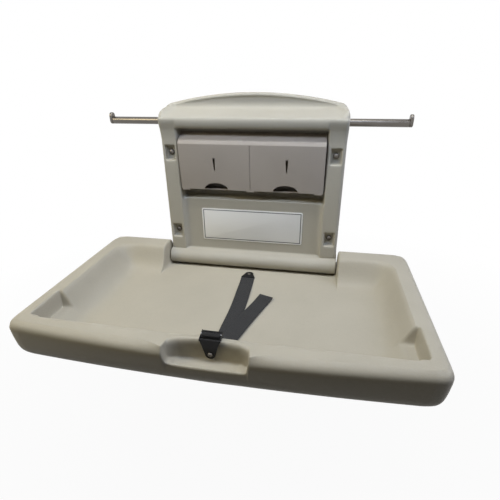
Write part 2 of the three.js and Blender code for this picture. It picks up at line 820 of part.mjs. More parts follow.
// The well, lofted down its crest, sloping walls and fillet; grow thickens it into its own walls
function bedWell(grow) {
  const stations = [[0, wellDepth + cutReach, -rimRound]];
  for (const [across, up] of quarter(arcSteps)) {
    stations.push([0, wellDepth - rimRound * (1 - across), -rimRound * (1 - up)]);
  }
  for (const [across, up] of quarter(arcSteps)) {
    const radius = wellFillet + grow;
    stations.push([1, wellFillet - radius * up, wellFillet - radius * across + grow]);
  }
  const rings = stations.map(([sloped, height, inset]) => {
    const halfX = bedHalf - rimSide - inset - sloped * sideSlope + grow;
    const back = -(rimBack + inset + sloped * backSlope) + grow;
    const front = crestY + inset + sloped * frontSlope - grow;
    return ringOf(roundedRectangle(-halfX, halfX, front, back, wellCorner), height - wellDepth);
  });
  return loft(rings.reverse());
}

// Pockets for the bar's ends, open towards the well
function barPockets(grow) {
  const bottom = barShutZ - barRadius - pocketUnder - grow;
  const rise = cutReach - bottom;
  return sides.map(([, side]) => {
    const level = (lean, z) => {
      const inner = barHalf - pocketMouth - grow;
      const outer = barHalf + pocketEnd + grow + lean * pocketEndLean;
      const front = barShutY - pocketAhead - grow - lean * pocketFrontLean;
      const back = barShutY + pocketBehind + grow + lean * pocketRearLean;
      const [left, right] = side > 0 ? [inner, outer] : [-outer, -inner];
      return ringOf(roundedRectangle(left, right, front, back, pocketCorner), z);
    };
    return loft([level(0, bottom), level(rise / -(barShutZ - barRadius - pocketUnder), cutReach)]);
  });
}

// Back wall of the handle recess, as y at a given x
const handleEndY = frontMiddle + handleEndReach;
const handleMiddleY = frontMiddle + handleReach;

function handleWallY(x) {
  const share = x / handleWidth + 0.5;
  return handleEndY + 4 * (handleMiddleY - handleEndY) * share * (1 - share);
}

function handleRecess(grow) {
  const half = handleWidth / 2 + grow;
  const front = frontMiddle - cutReach;
  const shape = new THREE.Shape();
  shape.moveTo(-half, front);
  shape.lineTo(half, front);
  shape.lineTo(half, handleEndY + grow);
  shape.quadraticCurveTo(0, 2 * handleMiddleY - handleEndY + grow, -half, handleEndY + grow);
  return prismUp(shape, -handleDepth - grow, cutReach, handleSteps);
}

// Room for the hinge barrel, down to the well's floor
function hingeNotch(grow) {
  const half = notchHalf + grow;
  const reach = rimBack + backSlope + wellFillet + cutReach;
  const radius = barrelRadius + turnGap + grow;
  return box(-half, half, -reach, cutReach, -(wellDepth + grow), cutReach)
    .add(barAlongX(radius, -half, half, -hingeInset, -hingeDrop))
    .add(box(-half, half, -hingeInset, cutReach, -hingeDrop - radius, 0));
}

const baseScrewPlaces = [];
for (const y of [-baseScrewBack, -(bedDepth - baseScrewFront)]) {
  for (const x of [-(bedHalf - baseScrewSide), 0, bedHalf - baseScrewSide]) {
    baseScrewPlaces.push([x, y]);
  }
}
const strapHole = barAlongZ(rivetShankRadius + boreGap, anchorX, anchorY, -bedHeight, cutReach);
const hangerWall = Math.min(handleWallY(buckleX - frameHalf), handleWallY(buckleX + frameHalf));
const hangerRear = hangerWall - seatGap;
const hangerSeat = hangerRear - hangerThickness - seatGap;
const hangerRivetReach = handleWallY(buckleX) + plasticWall - hangerSeat;

function bedTray() {
  const openings = [bedWell(0), ...barPockets(0), handleRecess(0), hingeNotch(0)];
  const bossTop = -wellDepth - plasticWall / 2;
  const bosses = baseScrewPlaces.map(([x, y]) => barAlongZ(baseBossRadius, x, y, baseTop + seatGap, bossTop));
  const walls = [
    bedWell(plasticWall),
    ...barPockets(plasticWall),
    handleRecess(plasticWall),
    hingeNotch(plasticWall),
    ...bosses,
  ];
  const hollow = cut(bedHollow(), walls);
  const screwHolesUnder = baseScrewPlaces.map(([x, y]) => undersideScrewHole(x, y, -bedHeight));
  const rodReach = notchHalf + 2 * plasticWall;
  const rodHole = barAlongX(boreRadius, -rodReach, rodReach, -hingeInset, -hingeDrop);
  const rivetHole = barAlongY(rivetShankRadius + boreGap, buckleX, handleMiddleY - cutReach,
    handleMiddleY + plasticWall + cutReach, -hangerRivetDrop);
  return cut(bedBlock(), [...openings, hollow, ...screwHolesUnder, rodHole, strapHole, rivetHole]);
}

piece('bed_tray', bedTray(), 'bedPlastic', bed);

// Underside panel and its screws
const lugInner = notchHalf + plasticWall + slotGap;
const lugScrewX = lugInner + lugFootWidth / 2;
const lugScrewY = -(hingeInset + lugFootReach / 2);
const lugScrewPlaces = [];
for (const [, sign] of sides) {
  for (const y of [lugScrewY - lugScrewPitch / 2, lugScrewY + lugScrewPitch / 2]) {
    lugScrewPlaces.push([sign * lugScrewX, y]);
  }
}

function bedBase() {
  const plan = bedPlan(bedDraft + bottomRound + slotGap, plasticWall + slotGap);
  const holes = [...baseScrewPlaces, ...lugScrewPlaces].map(([x, y]) => undersideScrewHole(x, y, -bedHeight));
  return cut(prismUp(plan, -bedHeight, baseTop, arcSteps), holes);
}

piece('bed_base', bedBase(), 'bedPlastic', bed);
baseScrewPlaces.forEach(([x, y], k) => {
  piece(`base_screw_${k + 1}`, undersideScrew(), 'zincSteel', bed).position.set(x, y, -bedHeight);
});
lugScrewPlaces.forEach(([x, y], k) => {
  piece(`lug_screw_${k + 1}`, undersideScrew(), 'zincSteel', bed).position.set(x, y, -bedHeight);
});

// Hinge rod with its collars, held by lugs on the underside panel
const collarInner = lugInner + lugThickness + seatGap;
const rodHalf = collarInner + collarLength + rodTail;
piece('hinge_rod', barAlongX(rodRadius, -rodHalf, rodHalf, -hingeInset, -hingeDrop), 'zincSteel', bed);

function hingeLug(side) {
  const footBottom = baseTop + seatGap;
  const footTop = footBottom + lugFootThickness;
  const rear = -(hingeInset - lugRadius);
  const front = -(hingeInset + lugFootReach);
  const across = (a, b) => (side > 0 ? [a, b] : [-b, -a]);
  const cheek = new THREE.Shape();
  cheek.absarc(-hingeInset, -hingeDrop, lugRadius, 0, Math.PI);
  cheek.lineTo(front, footTop);
  cheek.lineTo(front, footBottom);
  cheek.lineTo(rear, footBottom);
  const plate = prismAlongX(cheek, ...across(lugInner, lugInner + lugThickness));
  const foot = box(...across(lugInner, lugInner + lugFootWidth), front, rear, footBottom, footTop);
  const holes = lugScrewPlaces.map(([x, y]) => undersideScrewHole(x, y, -bedHeight));
  const boreReach = across(lugInner - cutReach, lugInner + cutReach);
  const bore = barAlongX(boreRadius, ...boreReach, -hingeInset, -hingeDrop);
  return cut(plate.add(foot), [bore, ...holes]);
}

for (const [side, sign] of sides) {
  piece(`hinge_lug_${side}`, hingeLug(sign), 'zincSteel', bed);
  const start = sign > 0 ? collarInner : -collarInner - collarLength;
  const collar = sleeve(start, [[collarRadius, collarLength]], boreRadius);
  piece(`rod_collar_${side}`, collar, 'zincSteel', bed).position.set(0, -hingeInset, -hingeDrop);
}

// Safety strap: a ribbon along the floor, up the front wall, round the buckle's base and back

// Stations over the front rim at a distance from its surface, from the floor up to the top
function overFrontRim(offset, topOffset) {
  const stations = [];
  const filletY = crestY + frontSlope + wellFillet;
  const filletZ = -wellDepth + wellFillet;
  for (const [across, up] of quarter(arcSteps)) {
    const radius = wellFillet - offset;
    stations.push([filletY - radius * up, filletZ - radius * across]);
  }
  quarter(arcSteps).forEach(([across, up], k) => {
    const radius = rimRound + offset + (topOffset - offset) * (k / arcSteps);
    stations.push([crestY - rimRound + radius * across, -rimRound + radius * up]);
  });
  return stations;
}

function strapStations() {
  const stations = [];
  const floorStart = anchorY + strapStart;
  const floorEnd = crestY + frontSlope + wellFillet;
  for (let k = 0; k < strapSteps; k += 1) {
    const share = k / strapSteps;
    const x = anchorX + (buckleX - anchorX) * share + strapSway * Math.sin(Math.PI * share);
    stations.push([x, floorStart + (floorEnd - floorStart) * share, lowStrap - wellDepth, 0]);
  }
  for (const [y, z] of overFrontRim(lowStrap, lowStrap)) stations.push([buckleX, y, z, 0]);
  const turnRadius = (buckledStrap - lowStrap) / 2;
  const turnZ = (buckledStrap + lowStrap) / 2;
  for (let k = 0; k <= turnSteps; k += 1) {
    const angle = Math.PI * (k / turnSteps);
    const y = buckleBaseFront - turnRadius * Math.sin(angle);
    stations.push([buckleX, y, turnZ - turnRadius * Math.cos(angle), 0]);
  }
  const wayBack = overFrontRim(highStrap, buckledStrap).reverse();
  for (const [y, z] of wayBack) stations.push([buckleX, y, z, 0]);
  let x = buckleX;
  let y = floorEnd;
  const step = tailLength / strapSteps;
  for (let k = 1; k <= strapSteps; k += 1) {
    const yaw = tailYaw * Math.min(1, (k * step) / tailBend);
    x += step * Math.sin(yaw);
    y += step * Math.cos(yaw);
    stations.push([x, y, highStrap - wellDepth, yaw]);
  }
  return stations;
}

function safetyStrap() {
  const stations = strapStations();
  const centres = stations.map(([x, y, z]) => new THREE.Vector3(x, y, z));
  const rings = stations.map(([, , , yaw], k) => {
    const before = centres[Math.max(0, k - 1)];
    const after = centres[Math.min(centres.length - 1, k + 1)];
    const along = after.clone().sub(before).setX(0).normalize();
    const side = new THREE.Vector3(Math.cos(yaw), -Math.sin(yaw), 0);
    const forward = yaw === 0 ? along : after.clone().sub(before).normalize();
    const normal = side.clone().cross(forward).normalize();
    const corner = (across, up) => centres[k].clone()
      .addScaledVector(side, across * strapWidth / 2)
      .addScaledVector(normal, up * strapThickness / 2);
    return [corner(-1, -1), corner(-1, 1), corner(1, 1), corner(1, -1)];
  });
  return loft(rings).subtract(strapHole);
}

piece('safety_strap', safetyStrap(), 'webbing', bed);

// Rear anchor over the strap's fixed end
const anchorBottom = -wellDepth + lowStrap + strapThickness / 2 + seatGap;
const anchorOutline = roundedRectangle(
  anchorX - anchorWidth / 2,
  anchorX + anchorWidth / 2,
  anchorY - anchorLength / 2,
  anchorY + anchorLength / 2,
  rivetHeadRadius,
);
const anchorPlate = prismUp(anchorOutline, anchorBottom, anchorBottom + anchorThickness).subtract(strapHole);
piece('rear_anchor_plate', anchorPlate, 'blackPlastic', bed);
const anchorTop = anchorBottom + anchorThickness + seatGap;
const anchorRivetLength = anchorTop + wellDepth + plasticWall;
const anchorRivet = domedFastener(rivetShankRadius, anchorRivetLength, rivetHeadRadius, rivetHeadRise);
anchorRivet.rotateX(Math.PI / 2);
piece('rear_anchor_rivet', anchorRivet, 'stainless', bed).position.set(anchorX, anchorY, anchorTop);

// Cam buckle on the front rim, with a hanger riveted to the recess's back wall
function buckleFrame() {
  const hangerFront = hangerRear - hangerThickness;
  const cheek = polygon([
    [hangerFront, seatGap],
    [crestY - buckleRear, seatGap],
    [crestY - buckleRear, buckleTop],
    [camY - camRadius, buckleTop],
    [hangerFront, buckleNose],
  ]);
  const cheeks = sides.map(([, side]) => {
    const inner = strapWidth / 2 + buckleSideGap;
    const [left, right] = side > 0 ? [inner, frameHalf] : [-frameHalf, -inner];
    return prismAlongX(cheek, buckleX + left, buckleX + right);
  });
  const baseBottom = lowStrap + strapThickness / 2 + seatGap;
  const base = box(buckleX - frameHalf, buckleX + frameHalf, buckleBaseFront, buckleBaseRear,
    baseBottom, baseBottom + buckleBaseThickness);
  const hanger = polygon([
    [buckleX - hangerTip, -hangerDrop],
    [buckleX + hangerTip, -hangerDrop],
    [buckleX + frameHalf, -hangerShoulder],
    [buckleX + frameHalf, buckleNose],
    [buckleX - frameHalf, buckleNose],
    [buckleX - frameHalf, -hangerShoulder],
  ]);
  const rivetBore = rivetShankRadius + boreGap;
  const rivetHole = barAlongY(rivetBore, buckleX, hangerFront - cutReach, 0, -hangerRivetDrop);
  const pinHole = barAlongX(pinRadius + boreGap, buckleX - strapWidth, buckleX + strapWidth, camY, camZ);
  const plate = prismForward(hanger, hangerRear, hangerThickness);
  return cut(joined([...cheeks, base, plate]), [rivetHole, pinHole]);
}

function buckleLever() {
  const half = strapWidth / 2;
  const hub = barAlongX(camRadius, buckleX - half, buckleX + half, camY, camZ);
  const tabTop = camZ + camRadius - boreGap;
  const tab = box(buckleX - half, buckleX + half, camY, camY + tabLength, tabTop - tabThickness, tabTop);
  const bore = barAlongX(pinRadius + boreGap, buckleX - strapWidth, buckleX + strapWidth, camY, camZ);
  return hub.add(tab).subtract(bore);
}

piece('buckle_frame', buckleFrame(), 'blackPlastic', bed);
const pin = barAlongX(pinRadius, buckleX - frameHalf, buckleX + frameHalf, camY, camZ);
piece('buckle_pin', pin, 'zincSteel', bed);
piece('buckle_lever', buckleLever(), 'blackPlastic', bed);
const hangerRivet = domedFastener(rivetShankRadius, hangerRivetReach, rivetHeadRadius, rivetHeadRise);
hangerRivet.rotateX(Math.PI);
const hangerRivetMesh = piece('buckle_rivet', hangerRivet, 'stainless', bed);
hangerRivetMesh.position.set(buckleX, hangerSeat, -hangerRivetDrop);

export default station;
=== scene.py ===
"""Looks for a wall-mounted fold-down baby changing station.

All sizes are metres in the part's own frame: the wall is the plane y = 0, the room lies towards -Y,
+X is to the right of a person facing the station and +Z is up. The bed is open at rest.
"""

from __future__ import annotations

import json
import logging
import math
from collections.abc import Callable, Iterable, Iterator
from contextlib import contextmanager
from dataclasses import dataclass
from enum import Enum

import bmesh
import bpy
from mathutils import Matrix, Vector


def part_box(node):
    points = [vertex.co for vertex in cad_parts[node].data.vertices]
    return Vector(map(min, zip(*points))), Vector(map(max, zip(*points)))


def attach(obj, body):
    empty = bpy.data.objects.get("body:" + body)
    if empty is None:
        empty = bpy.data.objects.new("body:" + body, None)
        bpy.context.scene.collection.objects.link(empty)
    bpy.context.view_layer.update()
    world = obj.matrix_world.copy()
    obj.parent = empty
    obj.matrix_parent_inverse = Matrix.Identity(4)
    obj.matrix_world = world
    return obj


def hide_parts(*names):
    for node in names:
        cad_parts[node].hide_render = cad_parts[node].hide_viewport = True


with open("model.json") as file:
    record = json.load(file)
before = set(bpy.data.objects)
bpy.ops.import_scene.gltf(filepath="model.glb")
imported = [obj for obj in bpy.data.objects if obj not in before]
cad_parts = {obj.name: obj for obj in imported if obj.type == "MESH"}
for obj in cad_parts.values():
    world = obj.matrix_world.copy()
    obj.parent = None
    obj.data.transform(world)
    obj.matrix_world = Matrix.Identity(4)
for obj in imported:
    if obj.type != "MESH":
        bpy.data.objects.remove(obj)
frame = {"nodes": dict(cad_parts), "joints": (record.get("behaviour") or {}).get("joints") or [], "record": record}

MM = 0.001
HAIR = 0.1 * MM  # tolerance when vertices are picked by their place
SIDES = {"left": -1, "right": 1}
log = logging.getLogger("changing_station")


class Body(Enum):
    """The bodies that pieces ride on."""

    WALL = "wall_unit"
    BED = "bed"
    LEVER = "lever"


class Slot(Enum):
    """The record's material slots."""

    BED = "bed_plastic"
    HOUSING = "housing_plastic"
    DISPENSER = "dispenser_plastic"
    LABEL = "label_plastic"
    STAINLESS = "stainless"
    ZINC = "zinc_steel"
    BLACK = "black_plastic"
    NYLON = "nylon"
    RUBBER = "rubber"
    WEBBING = "webbing"


class Value:
    """A shader value, so that sums and products of sockets read as Python."""

    def __init__(self, book: NodeBook, socket: bpy.types.NodeSocket) -> None:
        """Wrap an output socket of a book's node tree."""
        self.book = book
        self.socket = socket

    def math(self, operation: str, other: Value | float = 0.0, swap: bool = False) -> Value:
        """Add a Math node.

        Args:
            operation: The node's operation.
            other: The second operand.
            swap: Whether the other operand comes first.

        Returns:
            The node's result.
        """
        operands = (other, self) if swap else (self, other)
        node = self.book.node("ShaderNodeMath", {"operation": operation}, dict(enumerate(operands)))
        return Value(self.book, node.outputs[0])

    def __add__(self, other: Value | float) -> Value:
        """Sum."""
        return self.math("ADD", other)

    def __radd__(self, other: float) -> Value:
        """Sum with a number first."""
        return self.math("ADD", other)

    def __sub__(self, other: Value | float) -> Value:
        """Difference."""
        return self.math("SUBTRACT", other)

    def __rsub__(self, other: float) -> Value:
        """Difference with a number first."""
        return self.math("SUBTRACT", other, swap=True)

    def __mul__(self, other: Value | float) -> Value:
        """Product."""
        return self.math("MULTIPLY", other)

    def __rmul__(self, other: float) -> Value:
        """Product with a number first."""
        return self.math("MULTIPLY", other)

    def __abs__(self) -> Value:
        """Size without sign."""
        return self.math("ABSOLUTE")

    def sine(self) -> Value:
        """Sine."""
        return self.math("SINE")

    def least(self, other: Value | float) -> Value:
        """Smaller of two values."""
        return self.math("MINIMUM", other)

    def most(self, other: Value | float) -> Value:
        """Larger of two values."""
        return self.math("MAXIMUM", other)

    def ramp(self, low: float, high: float) -> Value:
        """Smooth step from 0 at low to 1 at high."""
        inputs = {"Value": self, "From Min": low, "From Max": high}
        node = self.book.node("ShaderNodeMapRange", {"interpolation_type": "SMOOTHSTEP"}, inputs)
        return Value(self.book, node.outputs[0])


class NodeBook:
    """Writes one material's node tree."""

    def __init__(self, name: str) -> None:
        """Start an empty material of that name."""
        self.material = bpy.data.materials.new(name)
        self.material.use_nodes = True
        self.tree = self.material.node_tree
        self.tree.nodes.clear()

    def node(self, kind: str, settings: dict | None = None, inputs: dict | None = None) -> bpy.types.Node:
        """Add a node.

        Args:
            kind: The node's type.
            settings: Its settings, which are set first; "stops" are a colour ramp's.
            inputs: Numbers, colours, values or sockets for its inputs, by name or index.

        Returns:
            The node.
        """
        node = self.tree.nodes.new(kind)
        for key, setting in (settings or {}).items():
            if key == "stops":
                for stop, (place, colour) in zip(node.color_ramp.elements, setting):
                    stop.position = place
                    stop.color = colour
            else:
                setattr(node, key, setting)
        for key, given in (inputs or {}).items():
            if isinstance(given, Value):
                self.tree.links.new(given.socket, node.inputs[key])
            elif isinstance(given, bpy.types.NodeSocket):
                self.tree.links.new(given, node.inputs[key])
            else:
                node.inputs[key].default_value = given
        return node

    def place(self, source: str = "Object") -> bpy.types.NodeSocket:
        """Coordinates of one kind."""
        return self.node("ShaderNodeTexCoord").outputs[source]

    def parts(self, vector: bpy.types.NodeSocket) -> tuple[Value, Value, Value]:
        """The three parts of a vector."""
        split = self.node("ShaderNodeSeparateXYZ", None, {0: vector})
        return tuple(Value(self, part) for part in split.outputs)

    def stretched(self, vector: bpy.types.NodeSocket, scale: tuple) -> bpy.types.NodeSocket:
        """Coordinates scaled along each axis."""
        return self.node("ShaderNodeMapping", None, {"Vector": vector, "Scale": scale}).outputs[0]

    def noise(self, vector: bpy.types.NodeSocket, scale: float, detail: float = 3.0) -> Value:
        """Noise from 0 to 1, with that many lumps to the metre."""
        inputs = {"Vector": vector, "Scale": scale, "Detail": detail}
        return Value(self, self.node("ShaderNodeTexNoise", None, inputs).outputs["Fac"])

    def tint(self, share: Value, dark: tuple, light: tuple) -> bpy.types.NodeSocket:
        """Colour between two tones."""
        inputs = {"Factor": share, "A": dark, "B": light}
        return self.node("ShaderNodeMix", {"data_type": "RGBA"}, _colour_inputs(inputs)).outputs[2]

    def surface(self, height: Value | None, depth: float, inputs: dict) -> bpy.types.Material:
        """Finish the material.

        Args:
            height: Relief from 0 to 1, or None for a plain surface.
            depth: The relief's height in metres.
            inputs: The shader's inputs.

        Returns:
            The material.
        """
        if height is not None:
            bump = self.node("ShaderNodeBump", None, {"Height": height, "Distance": depth, "Strength": 1.0})
            inputs = {**inputs, "Normal": bump.outputs[0]}
        shader = self.node("ShaderNodeBsdfPrincipled", None, inputs)
        self.node("ShaderNodeOutputMaterial", None, {"Surface": shader.outputs[0]})
        return self.material


def _colour_inputs(inputs: dict) -> dict:
    """Index the colour inputs of a Mix node, whose names repeat for each data type."""
    return {0: inputs["Factor"], 6: inputs["A"], 7: inputs["B"]}


def shade(colour: tuple, factor: float) -> tuple:
    """A colour made darker or lighter, with its alpha."""
    return (*(part * factor for part in colour), 1.0)


@dataclass(frozen=True)
class MouldedPlastic:
    """Moulded polyethylene: fine grain, soft orange peel, faint mottling and scuffs."""

    name: str
    colour: tuple
    roughness: float = 0.5
    gloss: float = 0.22
    grain: float = 1600.0  # lumps to the metre
    peel: float = 130.0
    relief: float = 0.35 * MM
    mottle: float = 0.06
    scuff: float = 0.05

    def make(self) -> bpy.types.Material:
        """Build the material."""
        book = NodeBook(self.name)
        place = book.place()
        cloud = book.noise(place, 7.0, 5.0)
        speck = book.noise(place, 420.0, 2.0)
        scratch = book.noise(book.stretched(place, (14.0, 90.0, 40.0)), 6.0, 6.0).ramp(0.62, 0.74)
        tone = cloud * 0.7 + speck * 0.3 - scratch * 0.25
        dark = shade(self.colour, 1 - self.mottle)
        light = shade(self.colour, 1 + self.mottle)
        colour = book.tint(tone.ramp(0.2, 0.8), dark, light)
        grain = book.noise(place, self.grain, 2.0)
        peel = book.noise(place, self.peel, 2.0)
        rough = self.roughness - 0.06 + cloud * 0.08 + grain * 0.04 + scratch * self.scuff
        height = grain * 0.25 + peel * 0.75
        return book.surface(height, self.relief, {
            "Base Color": colour,
            "Roughness": rough,
            "Specular IOR Level": self.gloss,
        })


@dataclass(frozen=True)
class BrushedMetal:
    """Metal with fine lines along X and a little tarnish."""

    name: str
    colour: tuple
    roughness: float = 0.28
    lines: tuple = (25.0, 900.0, 900.0)
    relief: float = 0.03 * MM

    def make(self) -> bpy.types.Material:
        """Build the material."""
        book = NodeBook(self.name)
        place = book.place()
        brush = book.noise(book.stretched(place, self.lines), 1.0, 4.0)
        cloud = book.noise(place, 22.0, 4.0)
        tone = (brush * 0.6 + cloud * 0.4).ramp(0.25, 0.75)
        colour = book.tint(tone, shade(self.colour, 0.86), shade(self.colour, 1.06))
        rough = self.roughness - 0.07 + brush * 0.08 + cloud * 0.08
        return book.surface(brush, self.relief, {
            "Base Color": colour,
            "Roughness": rough,
            "Metallic": 1.0,
        })


@dataclass(frozen=True)
class PlatedSteel:
    """Zinc-plated sheet with its crystal pattern."""

    name: str
    colour: tuple
    roughness: float = 0.42
    crystals: float = 140.0

    def make(self) -> bpy.types.Material:
        """Build the material."""
        book = NodeBook(self.name)
        place = book.place()
        cells = book.node("ShaderNodeTexVoronoi", None, {"Vector": place, "Scale": self.crystals})
        crystal = book.parts(cells.outputs["Color"])[0]
        cloud = book.noise(place, 30.0, 5.0)
        tone = crystal * 0.5 + cloud * 0.5
        colour = book.tint(tone, shade(self.colour, 0.85), shade(self.colour, 1.1))
        rough = self.roughness - 0.1 + crystal * 0.12 + cloud * 0.1
        return book.surface(cloud, 0.05 * MM, {
            "Base Color": colour,
            "Roughness": rough,
            "Metallic": 1.0,
        })


@dataclass(frozen=True)
class WovenWebbing:
    """Flat webbing: warp cords crossed by picks, with firm edges and loose fibres; its colour is painted lighter on
    raised crossings and edges and darker in the hollows (painted highlight and painted shade).
    """

    name: str
    colour: tuple
    width: float
    length: float
    cord: float = 1.6 * MM
    pick: float = 1.9 * MM
    relief: float = 0.35 * MM

    def make(self) -> bpy.types.Material:
        """Build the material from the strap's own UV map, u across and v along."""
        book = NodeBook(self.name)
        chart = book.place("UV")
        across, along, _ = book.parts(chart)
        cords = (across * (math.tau * self.width / self.cord)).sine()
        picks = (along * (math.tau * self.length / self.pick)).sine()
        weave_and_painted_shade = cords * picks * 0.5 + 0.5
        edge = abs(across - 0.5).ramp(0.455, 0.49)
        lumps = book.noise(book.place(), 55.0, 4.0)
        fibre = book.noise(book.place(), 1500.0, 2.0)
        # Colour: the weave's raised crossings and the raised edges are painted lighter and its hollows darker, a
        # painted highlight and painted shade that follow the bump; the lumps and fibres are random tone.
        tone = weave_and_painted_shade * 0.45 + lumps * 0.35 + fibre * 0.3 + edge * 0.15
        colour = book.tint(tone.ramp(0.2, 0.95), shade(self.colour, 0.55), shade(self.colour, 1.45))
        height = weave_and_painted_shade * 0.7 + fibre * 0.2 + edge * 0.4
        return book.surface(height, self.relief, {
            "Base Color": colour,
            "Roughness": 0.78 + fibre * 0.15,
            "Sheen Weight": 0.06,
            "Sheen Roughness": 0.5,
        })


@dataclass(frozen=True)
class BlackMoulding:
    """Hard black plastic or painted steel with rubbed spots."""

    name: str
    colour: tuple
    roughness: float = 0.36
    gloss: float = 0.16
    rubbed: tuple = (0.026, 0.025, 0.024)

    def make(self) -> bpy.types.Material:
        """Build the material."""
        book = NodeBook(self.name)
        place = book.place()
        cloud = book.noise(place, 60.0, 5.0)
        rub = book.noise(place, 260.0, 6.0).ramp(0.56, 0.72)
        grain = book.noise(place, 2200.0, 2.0)
        colour = book.tint(rub * 0.6 + cloud * 0.25, (*self.colour, 1.0), (*self.rubbed, 1.0))
        rough = self.roughness - 0.08 + cloud * 0.16 + rub * 0.1
        return book.surface(grain, 0.06 * MM, {
            "Base Color": colour,
            "Roughness": rough,
            "Specular IOR Level": self.gloss,
        })


@dataclass(frozen=True)
class BorderedPlate:
    """A bare label plate with one thin line round its edge."""

    name: str
    colour: tuple
    line: tuple
    middle: Vector
    half: tuple  # half width and half height
    inset: float = 5.0 * MM
    thin: float = 2.0 * MM

    def make(self) -> bpy.types.Material:
        """Build the material."""
        book = NodeBook(self.name)
        place = book.place()
        x, _, z = book.parts(place)
        beside = self.half[0] - abs(x - self.middle.x)
        above = self.half[1] - abs(z - self.middle.z)
        depth = beside.least(above)
        line = 1 - abs(depth - self.inset).ramp(0.35 * self.thin, 0.75 * self.thin)
        cloud = book.noise(place, 18.0, 5.0)
        smear = book.noise(book.stretched(place, (20.0, 20.0, 160.0)), 3.0, 5.0)
        paper = book.tint(cloud * 0.6 + smear * 0.4, shade(self.colour, 0.95), shade(self.colour, 1.04))
        ink = book.node("ShaderNodeMix", {"data_type": "RGBA"}, {0: line, 6: paper, 7: (*self.line, 1.0)})
        rough = 0.26 + smear * 0.16 + line * 0.1
        return book.surface(cloud, 0.04 * MM, {"Base Color": ink.outputs[2], "Roughness": rough})


@dataclass(frozen=True)
class SoftRubber:
    """Matt rubber with a bloom of dust."""

    name: str
    colour: tuple

    def make(self) -> bpy.types.Material:
        """Build the material."""
        book = NodeBook(self.name)
        place = book.place()
        dust = book.noise(place, 90.0, 6.0)
        grain = book.noise(place, 1400.0, 2.0)
        colour = book.tint(dust.ramp(0.35, 0.8), shade(self.colour, 0.8), shade(self.colour, 2.2))
        return book.surface(grain, 0.1 * MM, {"Base Color": colour, "Roughness": 0.75 + dust * 0.15})


